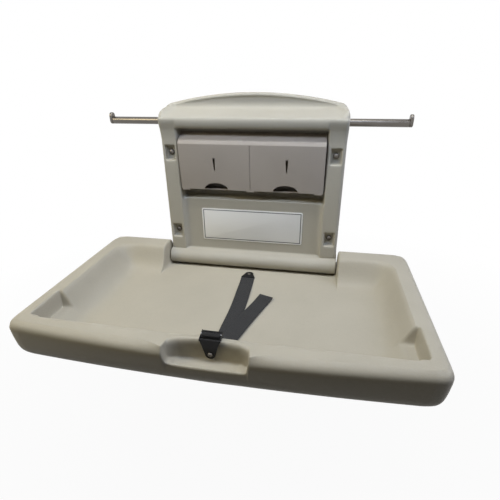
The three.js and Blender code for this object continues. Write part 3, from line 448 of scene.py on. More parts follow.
class Bench:
    """Modelling tools that the sub-assemblies share."""

    @staticmethod
    def clear() -> None:
        """Leave edit mode and deselect everything."""
        active = bpy.context.view_layer.objects.active
        if active is not None and active.mode != "OBJECT":
            bpy.ops.object.mode_set(mode="OBJECT")
        bpy.ops.object.select_all(action="DESELECT")

    @staticmethod
    def named(name: str) -> bpy.types.Object:
        """Name the primitive that was just added, and settle its place into its mesh."""
        bpy.ops.object.transform_apply(location=True, rotation=True, scale=True)
        piece = bpy.context.object
        piece.name = name
        piece.data.name = name
        return piece

    @staticmethod
    def block(name: str, low: Iterable[float], high: Iterable[float]) -> bpy.types.Object:
        """Add a box between two corners."""
        low, high = Vector(low), Vector(high)
        Bench.clear()
        bpy.ops.mesh.primitive_cube_add(size=1.0, location=(low + high) / 2, scale=high - low)
        return Bench.named(name)

    @staticmethod
    def rod(name: str, radius: float, start: Iterable[float], end: Iterable[float], sides: int = 48):
        """Add a cylinder between two points."""
        start, end = Vector(start), Vector(end)
        turn = (end - start).to_track_quat("Z", "Y").to_euler()
        Bench.clear()
        bpy.ops.mesh.primitive_cylinder_add(
            vertices=sides, radius=radius, depth=(end - start).length,
            location=(start + end) / 2, rotation=turn)
        return Bench.named(name)

    @staticmethod
    @contextmanager
    def editing(piece: bpy.types.Object, elements: str = "VERT") -> Iterator[None]:
        """Edit one piece, with nothing selected at first."""
        Bench.clear()
        piece.select_set(True)
        bpy.context.view_layer.objects.active = piece
        bpy.ops.object.mode_set(mode="EDIT")
        bpy.ops.mesh.select_mode(type=elements)
        bpy.ops.mesh.select_all(action="DESELECT")
        yield
        bpy.ops.object.mode_set(mode="OBJECT")

    @staticmethod
    def pick(test: Callable[[Vector], bool]) -> None:
        """Select the vertices, edges and faces that lie wholly on places that pass a test."""
        mesh = bpy.context.edit_object.data
        form = bmesh.from_edit_mesh(mesh)
        for group in (form.faces, form.edges, form.verts):
            for element in group:
                element.select = False
        for vert in form.verts:
            vert.select = bool(test(vert.co))
        form.select_mode |= {"VERT"}
        form.select_flush(True)
        bmesh.update_edit_mesh(mesh)

    @staticmethod
    def pick_faces(test: Callable[[bmesh.types.BMFace], bool]) -> None:
        """Select the faces that pass a test."""
        mesh = bpy.context.edit_object.data
        form = bmesh.from_edit_mesh(mesh)
        form.normal_update()
        for face in form.faces:
            face.select_set(False)
        for face in form.faces:
            if test(face):
                face.select_set(True)
        bmesh.update_edit_mesh(mesh)

    @staticmethod
    def bevel_sharp(width: float, segments: int, angle: float = 30.0) -> None:
        """Round every sharp edge of the piece that is being edited."""
        bpy.ops.mesh.select_mode(type="EDGE")
        bpy.ops.mesh.select_all(action="DESELECT")
        bpy.ops.mesh.edges_select_sharp(sharpness=math.radians(angle))
        bpy.ops.mesh.bevel(offset=width, segments=segments, profile=0.5, clamp_overlap=True)

    @staticmethod
    def apply(piece: bpy.types.Object, kind: str, **settings) -> None:
        """Add a modifier and apply it.

        Args:
            piece: The piece to change.
            kind: The modifier's type.
            **settings: Its settings.
        """
        Bench.clear()
        piece.select_set(True)
        bpy.context.view_layer.objects.active = piece
        modifier = piece.modifiers.new(kind.title(), kind)
        for key, setting in settings.items():
            setattr(modifier, key, setting)
        bpy.ops.object.modifier_apply(modifier=modifier.name)

    @staticmethod
    def cut(piece: bpy.types.Object, cutter: bpy.types.Object) -> None:
        """Cut one piece by another, which is used up."""
        Bench.apply(piece, "BOOLEAN", operation="DIFFERENCE", solver="EXACT", object=cutter)
        bpy.data.objects.remove(cutter)

    @staticmethod
    def join(pieces: list[bpy.types.Object]) -> bpy.types.Object:
        """Join pieces into the first of them."""
        Bench.clear()
        for piece in pieces:
            piece.select_set(True)
        bpy.context.view_layer.objects.active = pieces[0]
        bpy.ops.object.join()
        return pieces[0]

    @staticmethod
    def smooth(piece: bpy.types.Object, angle: float = 180.0) -> None:
        """Shade smooth across edges below an angle in degrees."""
        Bench.clear()
        piece.select_set(True)
        bpy.context.view_layer.objects.active = piece
        if angle >= 180.0:
            bpy.ops.object.shade_smooth()
        else:
            bpy.ops.object.shade_smooth_by_angle(angle=math.radians(angle))

    @staticmethod
    def deliver(piece: bpy.types.Object, body: Body, slot: Slot, material: bpy.types.Material,
                *nodes: str) -> bpy.types.Object:
        """Dress a finished piece and hand it to its body.

        Args:
            piece: The finished piece.
            body: The body that it rides on.
            slot: The record's slot of its finish; not used.
            material: Its material.
            *nodes: The CAD nodes that it stands for.

        Returns:
            The piece.
        """
        piece.data.materials.clear()
        piece.data.materials.append(material)
        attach(piece, body.value)
        if nodes:
            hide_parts(*nodes)
        log.info("%s: %d faces on %s", piece.name, len(piece.data.polygons), body.value)
        return piece


class Cage:
    """A grid whose lines are slid into place, then raised and lowered by region.

    A flat cage lies in XY and its height is Z. An upright cage stands in XZ, faces the room, and its
    height is its depth from the wall.
    """

    def __init__(self, name: str, columns: list[float], rows: list[float], upright: bool = False) -> None:
        """Add the grid and slide its lines to the given places, both in rising order."""
        self.upright = upright
        Bench.clear()
        bpy.ops.mesh.primitive_grid_add(
            x_subdivisions=len(columns) - 1, y_subdivisions=len(rows) - 1, size=1.0,
            rotation=(math.pi / 2 if upright else 0.0, 0.0, 0.0))
        self.piece = Bench.named(name)
        bpy.ops.object.mode_set(mode="EDIT")
        bpy.ops.mesh.select_mode(type="VERT")
        self._slide(columns, 0)
        self._slide(rows, 2 if upright else 1)

    def _slide(self, lines: list[float], axis: int) -> None:
        """Slide the grid's even lines along one axis to their places, the outermost first."""
        count = len(lines) - 1
        order = sorted(range(len(lines)), key=lambda k: -abs(k - count / 2))
        starts = [k / count - 0.5 for k in range(len(lines))]
        far = 10.0  # the lines wait here, so that none is picked twice
        for k in order:
            Bench.pick(lambda co: abs(co[axis] - starts[k]) < 0.2 / count)
            shift = [0.0, 0.0, 0.0]
            shift[axis] = far + lines[k] - starts[k]
            bpy.ops.transform.translate(value=shift)
        bpy.ops.mesh.select_all(action="SELECT")
        shift = [0.0, 0.0, 0.0]
        shift[axis] = -far
        bpy.ops.transform.translate(value=shift)

    def pick(self, test: Callable[[float, float], bool]) -> None:
        """Select vertices by their column's and row's place."""
        row = 2 if self.upright else 1
        Bench.pick(lambda co: test(co.x, co[row]))

    def shift(self, test: Callable[[float, float], bool], by: float) -> None:
        """Raise the vertices that pass a test, or lower them by a negative amount."""
        self.pick(test)
        bpy.ops.transform.translate(value=(0, -by, 0) if self.upright else (0, 0, by))

    def level(self, test: Callable[[float, float], bool], height: float) -> None:
        """Bring the vertices that pass a test to one height."""
        self.pick(test)
        if self.upright:
            bpy.ops.transform.resize(value=(1, 0, 1), center_override=(0, -height, 0))
        else:
            bpy.ops.transform.resize(value=(1, 1, 0), center_override=(0, 0, height))

    def at_most(self, test: Callable[[float, float], bool], height: float) -> None:
        """Bring down to a height those vertices that pass a test and stand above it."""
        Bench.pick(lambda co: test(co.x, co.y) and co.z > height)
        bpy.ops.transform.resize(value=(1, 1, 0), center_override=(0, 0, height))

    def at_least(self, test: Callable[[float, float], bool], height: float) -> None:
        """Bring up to a height those vertices that pass a test and stand below it."""
        Bench.pick(lambda co: test(co.x, co.y) and co.z < height)
        bpy.ops.transform.resize(value=(1, 1, 0), center_override=(0, 0, height))

    def warp(self, moved: Callable[[Vector], Vector]) -> None:
        """Move every vertex by a rule, for arcs and rounded corners."""
        mesh = self.piece.data
        form = bmesh.from_edit_mesh(mesh)
        for vert in form.verts:
            vert.co = moved(vert.co)
        bmesh.update_edit_mesh(mesh)

    def skirt(self, steps: Iterable[tuple[Vector, Vector]]) -> None:
        """Extrude the open edge in steps, each a scale and its centre."""
        bpy.ops.mesh.select_mode(type="EDGE")
        bpy.ops.mesh.select_all(action="DESELECT")
        bpy.ops.mesh.select_non_manifold()
        for scale, centre in steps:
            bpy.ops.mesh.extrude_edges_move()
            bpy.ops.transform.resize(value=scale, center_override=centre)
        bpy.ops.mesh.select_mode(type="VERT")

    def shell(self, wall: float, levels: int = 2) -> bpy.types.Object:
        """Smooth the cage and give it a wall that grows inwards.

        Args:
            wall: The wall's thickness.
            levels: How often the cage is subdivided.

        Returns:
            The finished piece.
        """
        bpy.ops.mesh.select_all(action="SELECT")
        bpy.ops.mesh.normals_make_consistent(inside=False)
        bpy.ops.object.mode_set(mode="OBJECT")
        Bench.apply(self.piece, "SUBSURF", levels=levels, render_levels=levels)
        Bench.apply(self.piece, "SOLIDIFY", thickness=wall, offset=-1.0, use_rim=True)
        Bench.smooth(self.piece, 50.0)
        return self.piece


def mirrored(half: Iterable[float]) -> list[float]:
    """Lines on both sides of the middle, from those at and right of it."""
    right = sorted(half)
    return [-x for x in reversed(right) if x > HAIR] + right


def between(points: Iterable[tuple[float, float]], place: float) -> float:
    """Read a table of pairs in rising order, with straight lines between them."""
    points = list(points)
    for (low, first), (high, second) in zip(points, points[1:]):
        if place <= high:
            return first + (second - first) * (place - low) / (high - low)
    return points[-1][1]


def ease(share: float) -> float:
    """Smooth step of a share that is held between 0 and 1."""
    share = min(1.0, max(0.0, share))
    return share * share * (3 - 2 * share)


@dataclass
class BedTray:
    """The bed's upper moulding: rim, well, bar pockets, handle recess and hinge notch."""

    material: bpy.types.Material
    wall: float = 4 * MM
    corner_depth: float = 480 * MM  # back edge to front corners
    rim_side: float = 47.5 * MM
    well_corners: tuple = (14 * MM, 48 * MM)  # at the front and at the back
    outer_corner: float = 27 * MM
    edge_steps: tuple = ((15.0, 0.0), (4.8, 3.2), (0.0, 15.0))  # in from the edge, and drop, in mm
    front_drops: tuple = (0.0, 5.4, 15.0)  # the same lines' drops along the front, in mm
    # Steps down into the well in mm: in from the side crest, back and front lines, and drop
    well_steps: tuple = (
        (1.5, 64.5, 438.5, 5.0),
        (8.5, 71.5, 436.6, 14.0),
        (18.0, 80.0, 434.4, 18.0),
        (29.0, 90.0, 431.6, 14.5),
        (41.0, 101.0, 426.5, 9.5),
        (56.0, 116.0, 417.0, 5.0),
    )
    middle_rows: tuple = (390, 310, 200, 150)
    # Lines from the front edge to the crest, as shares of the front rim away from the handle
    front_rows: tuple = (1.0, 0.90, 0.66, 0.62, 0.56, 0.48, 0.455, 0.43, 0.21)
    # Where the lines between foot and edge run: on the handle's floor, at its ends and away from it
    floor_shares: tuple = (0.93, 0.84, 0.78, 0.18)
    end_shares: tuple = (0.45, 0.12, 0.06, 0.03)
    rim_shares: tuple = (0.81, 0.34, 0.27, 0.15)
    notch_rows: tuple = ((57, 66), (47, 66), (40, 71), (26, 75), (16, 75), (5, 75), (0, 75))
    notch_gap: float = 2.2 * MM  # wall unit's end to the notch's side
    handle_half: float = 83 * MM
    handle_apex: float = 459 * MM  # back edge to the recess's back wall, in its middle
    handle_sag: float = 28 * MM  # how much further forward that wall ends
    # Heights below the rim of the handle's lines, from the front edge back to the wall's foot
    handle_drops: tuple = (45.5, 41.3, 40.5, 45.5, 45.5, 44.5, 37.0)
    # Columns of the handle's ends: half width, and rise above the dished floor
    handle_ends: tuple = ((63.0, 3.5), (72.0, 4.2), (79.3, 6.5), (81.0, 17.0))
    pocket_depth: float = 42 * MM
    pocket_rows: tuple = (338, 345, 348.5, 355)  # behind, top and foot of the rear wall, and floor
    pocket_ramp: tuple = ((417, 41), (426.5, 40), (431.6, 27), (434.4, 15), (436.6, 7), (438.5, 2))
    # Outer wall in mm: height below the rim, and lean inwards
    outer_steps: tuple = ((28.0, 0.8), (62.0, 3.0), (79.0, 7.4), (87.2, 15.0), (89.0, 23.0))
    # Heights below the rim of the outer wall's first two lines, under the handle and at the notch
    under_handle: tuple = (51.5, 63.0)
    at_notch: tuple = (75.8, 76.6)
    foot_bow: float = 6 * MM  # how much less the front bows at its foot

    def __post_init__(self) -> None:
        """Read the places that the frame gives."""
        low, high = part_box("bed_tray")
        self.half = high.x
        self.back = high.y
        self.rim = high.z
        self.depth = high.y - low.y
        self.well_half = self.half - self.rim_side
        self.notch_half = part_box("wall_housing")[1].x + self.notch_gap
        self.pocket_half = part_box("hook_bar_end_right")[1].x + 5 * MM
        self.crest = self.well_steps[0][2] * MM
        self.front_rim = self.corner_depth - self.crest
        self.panel_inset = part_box("bed_base")[0].y - low.y - 0.5 * MM

    def columns(self) -> list[float]:
        """The cage's lines across X."""
        ends = [x for x, _ in self.handle_ends]
        handle = [d * MM for d in (0, 34, 60, *ends, 82.8, 87, 95, 130, 180, 300)]
        notch = [self.notch_half + d * MM for d in (-6, 0, 0.9, 3.5)]
        well = [self.well_half - step[0] * MM for step in self.well_steps]
        pocket = [self.pocket_half + d * MM for d in (-7, -3, 0, 3)]
        edge = [self.half - inset * MM for inset, _ in self.edge_steps]
        return mirrored([*handle, *notch, *well, self.well_half + 5.0 * MM, *pocket, *edge])

    def rows(self) -> list[float]:
        """The cage's lines along Y, from the front."""
        front = [self.crest + share * self.front_rim for share in self.front_rows]
        well = [line * MM for step in self.well_steps for line in step[1:3]]
        notch = [line * MM for line, _ in self.notch_rows]
        spare = [line * MM for line in (*self.middle_rows, *self.pocket_rows)]
        return sorted(self.back - line for line in (*front, *well, *notch, *spare))

    def front_edge(self, x: float) -> float:
        """Distance from the well's front crest to the bowed front edge."""
        chord = self.half - 25 * MM
        return self.front_rim + (self.depth - self.corner_depth) * max(0.0, 1 - (x / chord) ** 2)

    def leaning(self, height: float) -> float:
        """How far the outer wall leans in at a height."""
        drop = (self.rim - height) / MM
        steps = ((self.edge_steps[-1][1], 0.0), *self.outer_steps)
        return 0.0 if drop <= steps[0][0] else between(steps, drop) * MM

    def front_lines(self, x: float) -> list[float]:
        """Shares of the front rim at which its lines run, drawn along the handle's curve."""
        reach = self.front_edge(x)
        aside = abs(x)
        sag = self.handle_sag * (1 - max(0.0, 1 - (aside / self.handle_half) ** 2.5) ** 0.4)
        away = ease((aside - self.handle_half) / (30 * MM))
        wall = (self.handle_apex + sag - self.crest) / reach
        wall += (self.front_rows[7] - wall) * away
        inside = aside < self.handle_half - MM
        edge = 1 - (self.leaning(self.rim - self.handle_drops[0] * MM) / reach if inside else 0.0)
        foot = wall + 3 * MM / reach
        near = self.floor_shares if inside else self.end_shares
        floor = [foot + (first + (last - first) * away) * (edge - foot)
                 for first, last in zip(near, self.rim_shares)]
        return [edge, *floor, foot, wall + 1.5 * MM / reach, wall, 0.5 * wall]

    def drawn(self, co: Vector) -> Vector:
        """Bow the front rim, draw its lines along the handle, and round the plan's corners."""
        local = self.back - co.y
        across, along = self.corner_shift(co.x, local)
        if local > self.crest + HAIR:
            share = (local - self.crest) / self.front_rim
            k = min(range(len(self.front_rows)), key=lambda n: abs(self.front_rows[n] - share))
            reach = self.front_edge(co.x)
            line = 1 - self.leaning(co.z) / reach if k == 0 else self.front_lines(co.x)[k]
            local = self.crest + line * reach
        return Vector((co.x - math.copysign(across, co.x), self.back - local - along, co.z))

    def corner_shift(self, x: float, local: float) -> tuple[float, float]:
        """How a place moves as the plan's corners are rounded.

        Each line round a corner is a square about one centre. It turns into a rounded square: a circle
        up to the well's crest, and tighter from there to the outer edge.

        Args:
            x: The place across.
            local: The distance from the back edge.

        Returns:
            The shift towards the middle, and the shift away from the back edge.
        """
        back = self.well_steps[0][1] * MM
        at_front = local > self.depth / 2
        well = self.well_corners[0 if at_front else 1]
        across = abs(x) - (self.well_half - well)
        along, rim = (local - self.crest + well, self.front_rim) if at_front else (back + well - local, back)
        if across <= HAIR or along <= HAIR:
            return 0.0, 0.0
        widths = self.rim_side, rim
        ring = max(away / well if away <= well else 1 + (away - well) / width
                   for away, width in zip((across, along), widths))
        beyond = max(0.0, ring - 1)
        half = [well * min(1.0, ring) + width * beyond for width in widths]
        radius = well * min(1.0, ring) + (self.outer_corner - well) * beyond
        inside = [away - size + radius for away, size in zip((across, along), half)]
        if min(inside) <= 0:
            return 0.0, 0.0
        lost = 1 - max(inside) / math.hypot(*inside)
        return inside[0] * lost, inside[1] * lost * (-1 if at_front else 1)

    def lower_well(self, cage: Cage) -> None:
        """Lower the rim's edge and the well, step by step."""
        front = [self.back - self.crest - share * self.front_rim for share in self.front_rows]
        back = (16 * MM, 5 * MM, 0.0)
        for k, (inset, drop) in enumerate(self.edge_steps):
            near = front[2 - k] + HAIR
            far = self.back - back[k] - HAIR
            cage.at_most(lambda x, y: abs(x) > self.half - inset * MM - HAIR or y > far, self.rim - drop * MM)
            cage.at_most(lambda x, y: y < near, self.rim - self.front_drops[k] * MM)
        for side, behind, ahead, drop in self.well_steps:
            half = self.well_half - side * MM + HAIR
            far, near = self.back - behind * MM + HAIR, self.back - ahead * MM - HAIR
            cage.shift(lambda x, y: abs(x) < half and near < y < far, -drop * MM)

    def open_notch(self, cage: Cage) -> None:
        """Open the back of the well for the wall unit's hinge barrel."""
        half = self.notch_half + HAIR
        floor = self.rim - sum(step[3] for step in self.well_steps) * MM
        cage.level(lambda x, y: abs(x) < half and y > self.back - 110 * MM, floor)
        for line, drop in self.notch_rows:
            cage.level(lambda x, y: abs(x) < half and abs(y - self.back + line * MM) < HAIR, self.rim - drop * MM)

    def sink_pockets(self, cage: Cage) -> None:
        """Sink the two pockets that clear the hook bar's ends when the bed is shut."""
        outer = self.pocket_half - 3 * MM + HAIR
        inner = self.well_half - 20 * MM
        rear = self.back - self.pocket_rows[2] * MM + HAIR
        front = self.back - 395 * MM
        cage.at_most(lambda x, y: inner < abs(x) < outer and front < y < rear, self.rim - self.pocket_depth)
        for line, drop in self.pocket_ramp:
            cage.at_most(
                lambda x, y: inner < abs(x) < outer and abs(y - self.back + line * MM) < 0.6 * MM,
                self.rim - drop * MM)

    def sink_handle(self, cage: Cage) -> None:
        """Sink the handle recess into the front rim, with its dished floor and rounded ends."""
        lines = [self.back - self.crest - share * self.front_rim for share in self.front_rows]
        half = self.handle_ends[-1][0] * MM + HAIR
        for line, drop in zip(lines, self.handle_drops):
            cage.level(lambda x, y: abs(x) < half and abs(y - line) < HAIR, self.rim - drop * MM)
        level = self.rim - self.handle_drops[1] * MM
        for end, rise in self.handle_ends:
            column, lift = end * MM, (rise - 3.5) * MM
            cage.at_least(lambda x, y: abs(abs(x) - column) < HAIR and lines[0] + HAIR < y < lines[5] + HAIR,
                          level + lift)
            cage.shift(lambda x, y: abs(abs(x) - column) < HAIR and
                       (y < lines[0] + HAIR or abs(y - lines[6]) < HAIR), lift)

    def build(self) -> bpy.types.Object:
        """Build the moulding and hand it to the bed."""
        cage = Cage("bed_tray_moulding", self.columns(), self.rows())
        cage.level(lambda x, y: True, self.rim)
        self.lower_well(cage)
        self.open_notch(cage)
        self.sink_pockets(cage)
        self.sink_handle(cage)
        cage.warp(self.drawn)
        first, second, *rest = self.outer_wall()
        for step in (first, second):
            cage.skirt([step])
            cage.warp(self.settled)
        cage.skirt(rest)
        cage.warp(self.straightened)
        tray = cage.shell(self.wall)
        return Bench.deliver(tray, Body.BED, Slot.BED, self.material, "bed_tray")

    def settled(self, co: Vector) -> Vector:
        """Bring the outer wall's first lines below the handle and the notch to their own heights."""
        drops = [drop for drop, _ in self.outer_steps[:2]]
        line = min(range(2), key=lambda k: abs(self.rim - drops[k] * MM - co.z))
        if abs(self.rim - drops[line] * MM - co.z) > HAIR:
            return co
        if self.back - co.y < MM and abs(co.x) < self.notch_half + HAIR:
            return Vector((co.x, co.y, self.rim - self.at_notch[line] * MM))
        if self.back - co.y > self.crest and abs(co.x) < self.handle_half - MM:
            height = self.rim - self.under_handle[line] * MM
            reach = self.crest + self.front_edge(co.x)
            return Vector((co.x, self.back - reach * (1 - self.leaning(height) / self.depth), height))
        return co

    def straightened(self, co: Vector) -> Vector:
        """Take some of the front's bow out towards the bed's foot."""
        drop = self.rim - co.z
        if drop < self.outer_steps[0][0] * MM or self.back - co.y < self.crest:
            return co
        bow = max(0.0, 1 - (co.x / self.half) ** 2)
        spare = max(0.0, self.panel_inset - self.leaning(co.z))
        return co + Vector((0, min(spare, self.foot_bow * bow * ease(drop / (80 * MM))), 0))

    def outer_wall(self) -> Iterator[tuple[Vector, Vector]]:
        """Steps of the leaning outer wall, each a scale about the back edge's height."""
        lean = 0.0
        for drop, inset in self.outer_steps:
            across = (self.half - inset * MM) / (self.half - lean)
            along = (self.depth - inset * MM) / (self.depth - lean)
            lean = inset * MM
            yield Vector((across, along, 0)), Vector((0, self.back, self.rim - drop * MM))


@dataclass
class WallHousing:
    """The wall unit's moulding: crown, posts, dispenser bay, lower panel and hinge barrel."""

    material: bpy.types.Material
    wall: float = 3.5 * MM
    post_inset: float = 1.5 * MM
    recess_half: float = 199.5 * MM
    post_depth: float = 67 * MM
    panel_depth: float = 55 * MM
    bay_depth: float = 35 * MM
    ledge: float = -13.5 * MM
    shelf_foot: float = 12.5 * MM  # the bay is deeper below this
    deep_bay: float = 20 * MM
    recess_top: float = 178 * MM
    lip: float = 208.5 * MM
    shoulder_inset: float = 28 * MM
    screw_x: float = 224 * MM
    screw_z: float = 115 * MM
    pocket_depth: float = 14 * MM
    # Crown's lines in mm: height above the lip and depth in the middle, then both at the shoulders
    crown: tuple = (
        (0.0, 73.5, 0.0, 73.5), (2.0, 62.0, 3.0, 63.0), (4.8, 48.0, 7.0, 50.0), (8.2, 34.0, 11.5, 36.0),
        (12.4, 20.0, 16.0, 22.5), (17.0, 9.2, 20.0, 14.5), (22.5, 4.0, 22.6, 12.5), (34.0, 2.8, 24.2, 12.2),
        (44.6, 2.2, 25.4, 12.0), (47.2, 6.2, 26.2, 11.6), (50.4, 9.0, 28.0, 9.6), (54.2, 7.4, 30.4, 6.0),
        (56.6, 4.2, 31.8, 3.2), (57.5, 0.6, 32.5, 0.6),
    )
    # Room that the shut bed's front wall leaves for the shoulders: height and depth in mm
    room: tuple = ((208.5, 74.0), (222.0, 60.0), (225.5, 46.0), (228.0, 29.0), (230.5, 18.0), (234.0, 14.5), (270.0, 13.0))
    # Nosing under the lip: height and depth in mm
    nosing: tuple = ((205.5, 76.6), (200.0, 78.0), (192.0, 77.4), (185.5, 75.4), (181.0, 71.5), (178.5, 65.5))
    # The same above the posts, into which it flows
    brow: tuple = (
        (200.0, 77.6), (192.0, 75.6), (185.5, 73.0), (181.0, 71.2), (178.5, 70.3), (177.5, 70.0), (173.5, 69.0),
        (165.0, 67.8),
    )
    # Barrel: height below and above its axis and depth in mm
    barrel: tuple = (
        (-30.0, 60.0), (-28.5, 69.0), (-23.5, 78.5), (-14.0, 86.5), (-3.0, 88.6), (8.0, 84.5), (15.0, 76.5),
        (18.2, 68.0), (19.5, 59.0),
    )
    side_round: tuple = ((5.5, 0.5), (1.5, 4.5), (0.0, 13.0))  # in from the side, and loss of depth, in mm
    barrel_round: tuple = ((5.5, 0.0), (1.5, 0.8), (0.0, 4.0))

    def __post_init__(self) -> None:
        """Read the places that the frame gives."""
        low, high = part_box("wall_housing")
        self.half = high.x
        self.axis = frame["joints"][0]["pos_m"][2]
        self.bottom = low.z
        self.post_half = self.half - self.post_inset

    def columns(self) -> list[float]:
        """The cage's lines across X."""
        recess = [self.recess_half + d * MM for d in (-16, -7, 0, 2, 6)]
        pocket = [self.screw_x + d * MM for d in (-13.5, -12, -7, 7, 12, 13.5)]
        edge = [self.post_half - inset * MM for inset, _ in self.side_round]
        return mirrored([0, 50 * MM, 100 * MM, 150 * MM, *recess, *pocket, *edge])

    def rows(self) -> list[float]:
        """The cage's lines up Z."""
        barrel = [self.axis + z * MM for z, _ in self.barrel]
        pockets = [side * self.screw_z + d * MM for side in (-1, 1) for d in (-25, -20.2, -18.4, -13, 13, 18.2, 19.6, 24)]
        ledge = [self.ledge + d * MM for d in (-18, -8, -3.5, -1.0, 1.0, 6)]
        panel = [d * MM for d in (-171.5, -166, -60, 9, 12.5, 50, 150, 165)]
        bay = [self.recess_top + d * MM for d in (-4.5, -0.5)]
        nosing = [z * MM for z, _ in self.nosing]
        crown = [self.lip + line[0] * MM for line in self.crown]
        return sorted([*barrel, *pockets, *ledge, *panel, *bay, *nosing, *crown])

    def set_depths(self, cage: Cage) -> None:
        """Bring each region to its depth from the wall."""
        recess = self.recess_half + HAIR
        cage.level(lambda x, z: True, self.post_depth)
        cage.level(lambda x, z: abs(x) < recess and z < self.recess_top, self.panel_depth)
        cage.level(lambda x, z: abs(x) < recess and self.ledge < z < self.recess_top, self.bay_depth)
        cage.level(lambda x, z: abs(x) < recess and self.ledge < z < self.shelf_foot - MM, self.deep_bay)
        for line, depth in self.nosing:
            cage.level(lambda x, z: abs(z - line * MM) < HAIR, depth * MM)
        for line, depth in self.brow:
            cage.level(lambda x, z: abs(x) > recess + MM and abs(z - line * MM) < HAIR, depth * MM)
        for drop, depth in self.barrel:
            line = self.axis + drop * MM
            cage.level(lambda x, z: abs(z - line) < HAIR, depth * MM)
        for drop, depth in self.barrel[-2:]:
            line, least = self.axis + drop * MM, max(depth * MM, self.post_depth - MM)
            cage.level(lambda x, z: abs(x) > recess + MM and abs(z - line) < HAIR, least)
        slope = (self.post_depth + self.panel_depth) / 2
        cage.level(lambda x, z: abs(abs(x) - self.recess_half) < HAIR and self.axis + 24 * MM < z < self.ledge - 6 * MM,
                   slope)
        inside = self.screw_x - 12.5 * MM, self.screw_x + 12.5 * MM
        for side in (-1, 1):
            middle = side * self.screw_z
            cage.level(
                lambda x, z: inside[0] < abs(x) < inside[1] and abs(z - middle) < 18.8 * MM,
                self.post_depth - self.pocket_depth)

    def round_sides(self, cage: Cage) -> None:
        """Round the outer edges, firmly at the barrel's ends and softly elsewhere."""
        above_barrel = self.axis + 19 * MM
        for steps, test in ((self.barrel_round, lambda z: z < above_barrel),
                            (self.side_round, lambda z: above_barrel < z < self.lip + HAIR)):
            for inset, loss in steps:
                column = self.post_half - inset * MM
                cage.shift(lambda x, z: abs(abs(x) - column) < HAIR and test(z), -loss * MM)

    def arched(self, co: Vector) -> Vector:
        """Draw the crown's lines along its arch and round its shoulders, and flare the sides."""
        flare = max(ease((co.z - 148 * MM) / (30 * MM)), ease((self.axis + 29 * MM - co.z) / (8 * MM)))
        outside = max(0.0, abs(co.x) - self.recess_half) / (self.post_half - self.recess_half)
        x = co.x + math.copysign(self.post_inset * flare * outside, co.x)
        if co.z < self.lip - HAIR:
            return Vector((x, co.y, co.z))
        line = min(self.crown, key=lambda row: abs(self.lip + row[0] * MM - co.z))
        start = self.half - self.shoulder_inset
        along = min(1.0, abs(x) / start)
        rise = line[0] + (line[2] - line[0]) * along ** 2
        depth = line[1] + (line[3] - line[1]) * along ** 2.2
        if abs(x) <= start:
            return Vector((x, -depth * MM, self.lip + rise * MM))
        shoulder = self.crown[-1][2]
        aside, share = (abs(x) - start) / self.shoulder_inset, rise / shoulder
        ring = max(aside, share)
        factor = ring / math.hypot(aside, share)
        turn = ease(math.atan2(share, aside) / (math.pi / 2))
        end = between(((0.0, 73.5), (0.6, 73.0), (0.85, 69.0), (1.0, 60.0)), ring)
        inner = between([(row[2], row[3]) for row in self.crown], ring * shoulder)
        height = self.lip + rise * MM * factor
        depth = min(end + (inner - end) * turn, between(self.room, height / MM))
        return Vector((math.copysign(start + self.shoulder_inset * aside * factor, x), -depth * MM, height))

    def build(self) -> bpy.types.Object:
        """Build the moulding and hand it to the wall unit."""
        cage = Cage("wall_housing_moulding", self.columns(), self.rows(), upright=True)
        self.set_depths(cage)
        self.round_sides(cage)
        cage.warp(self.arched)
        wall_line = Vector((0, 0, 0))
        cage.skirt([(Vector((1, 0.5, 1)), wall_line), (Vector((1, 0, 1)), wall_line)])
        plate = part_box("back_plate")
        Bench.pick(lambda co: co.y > -HAIR and co.z < self.bottom + MM and abs(co.x) < plate[1].x + 2 * MM)
        bpy.ops.transform.translate(value=(0, plate[0].y - 0.6 * MM, 0))
        housing = cage.shell(self.wall)
        with Bench.editing(housing):
            Bench.pick(lambda co: co.y > 0)
            bpy.ops.transform.resize(value=(1, 0, 1), center_override=(0, 0, 0))
        return Bench.deliver(housing, Body.WALL, Slot.HOUSING, self.material, "wall_housing")


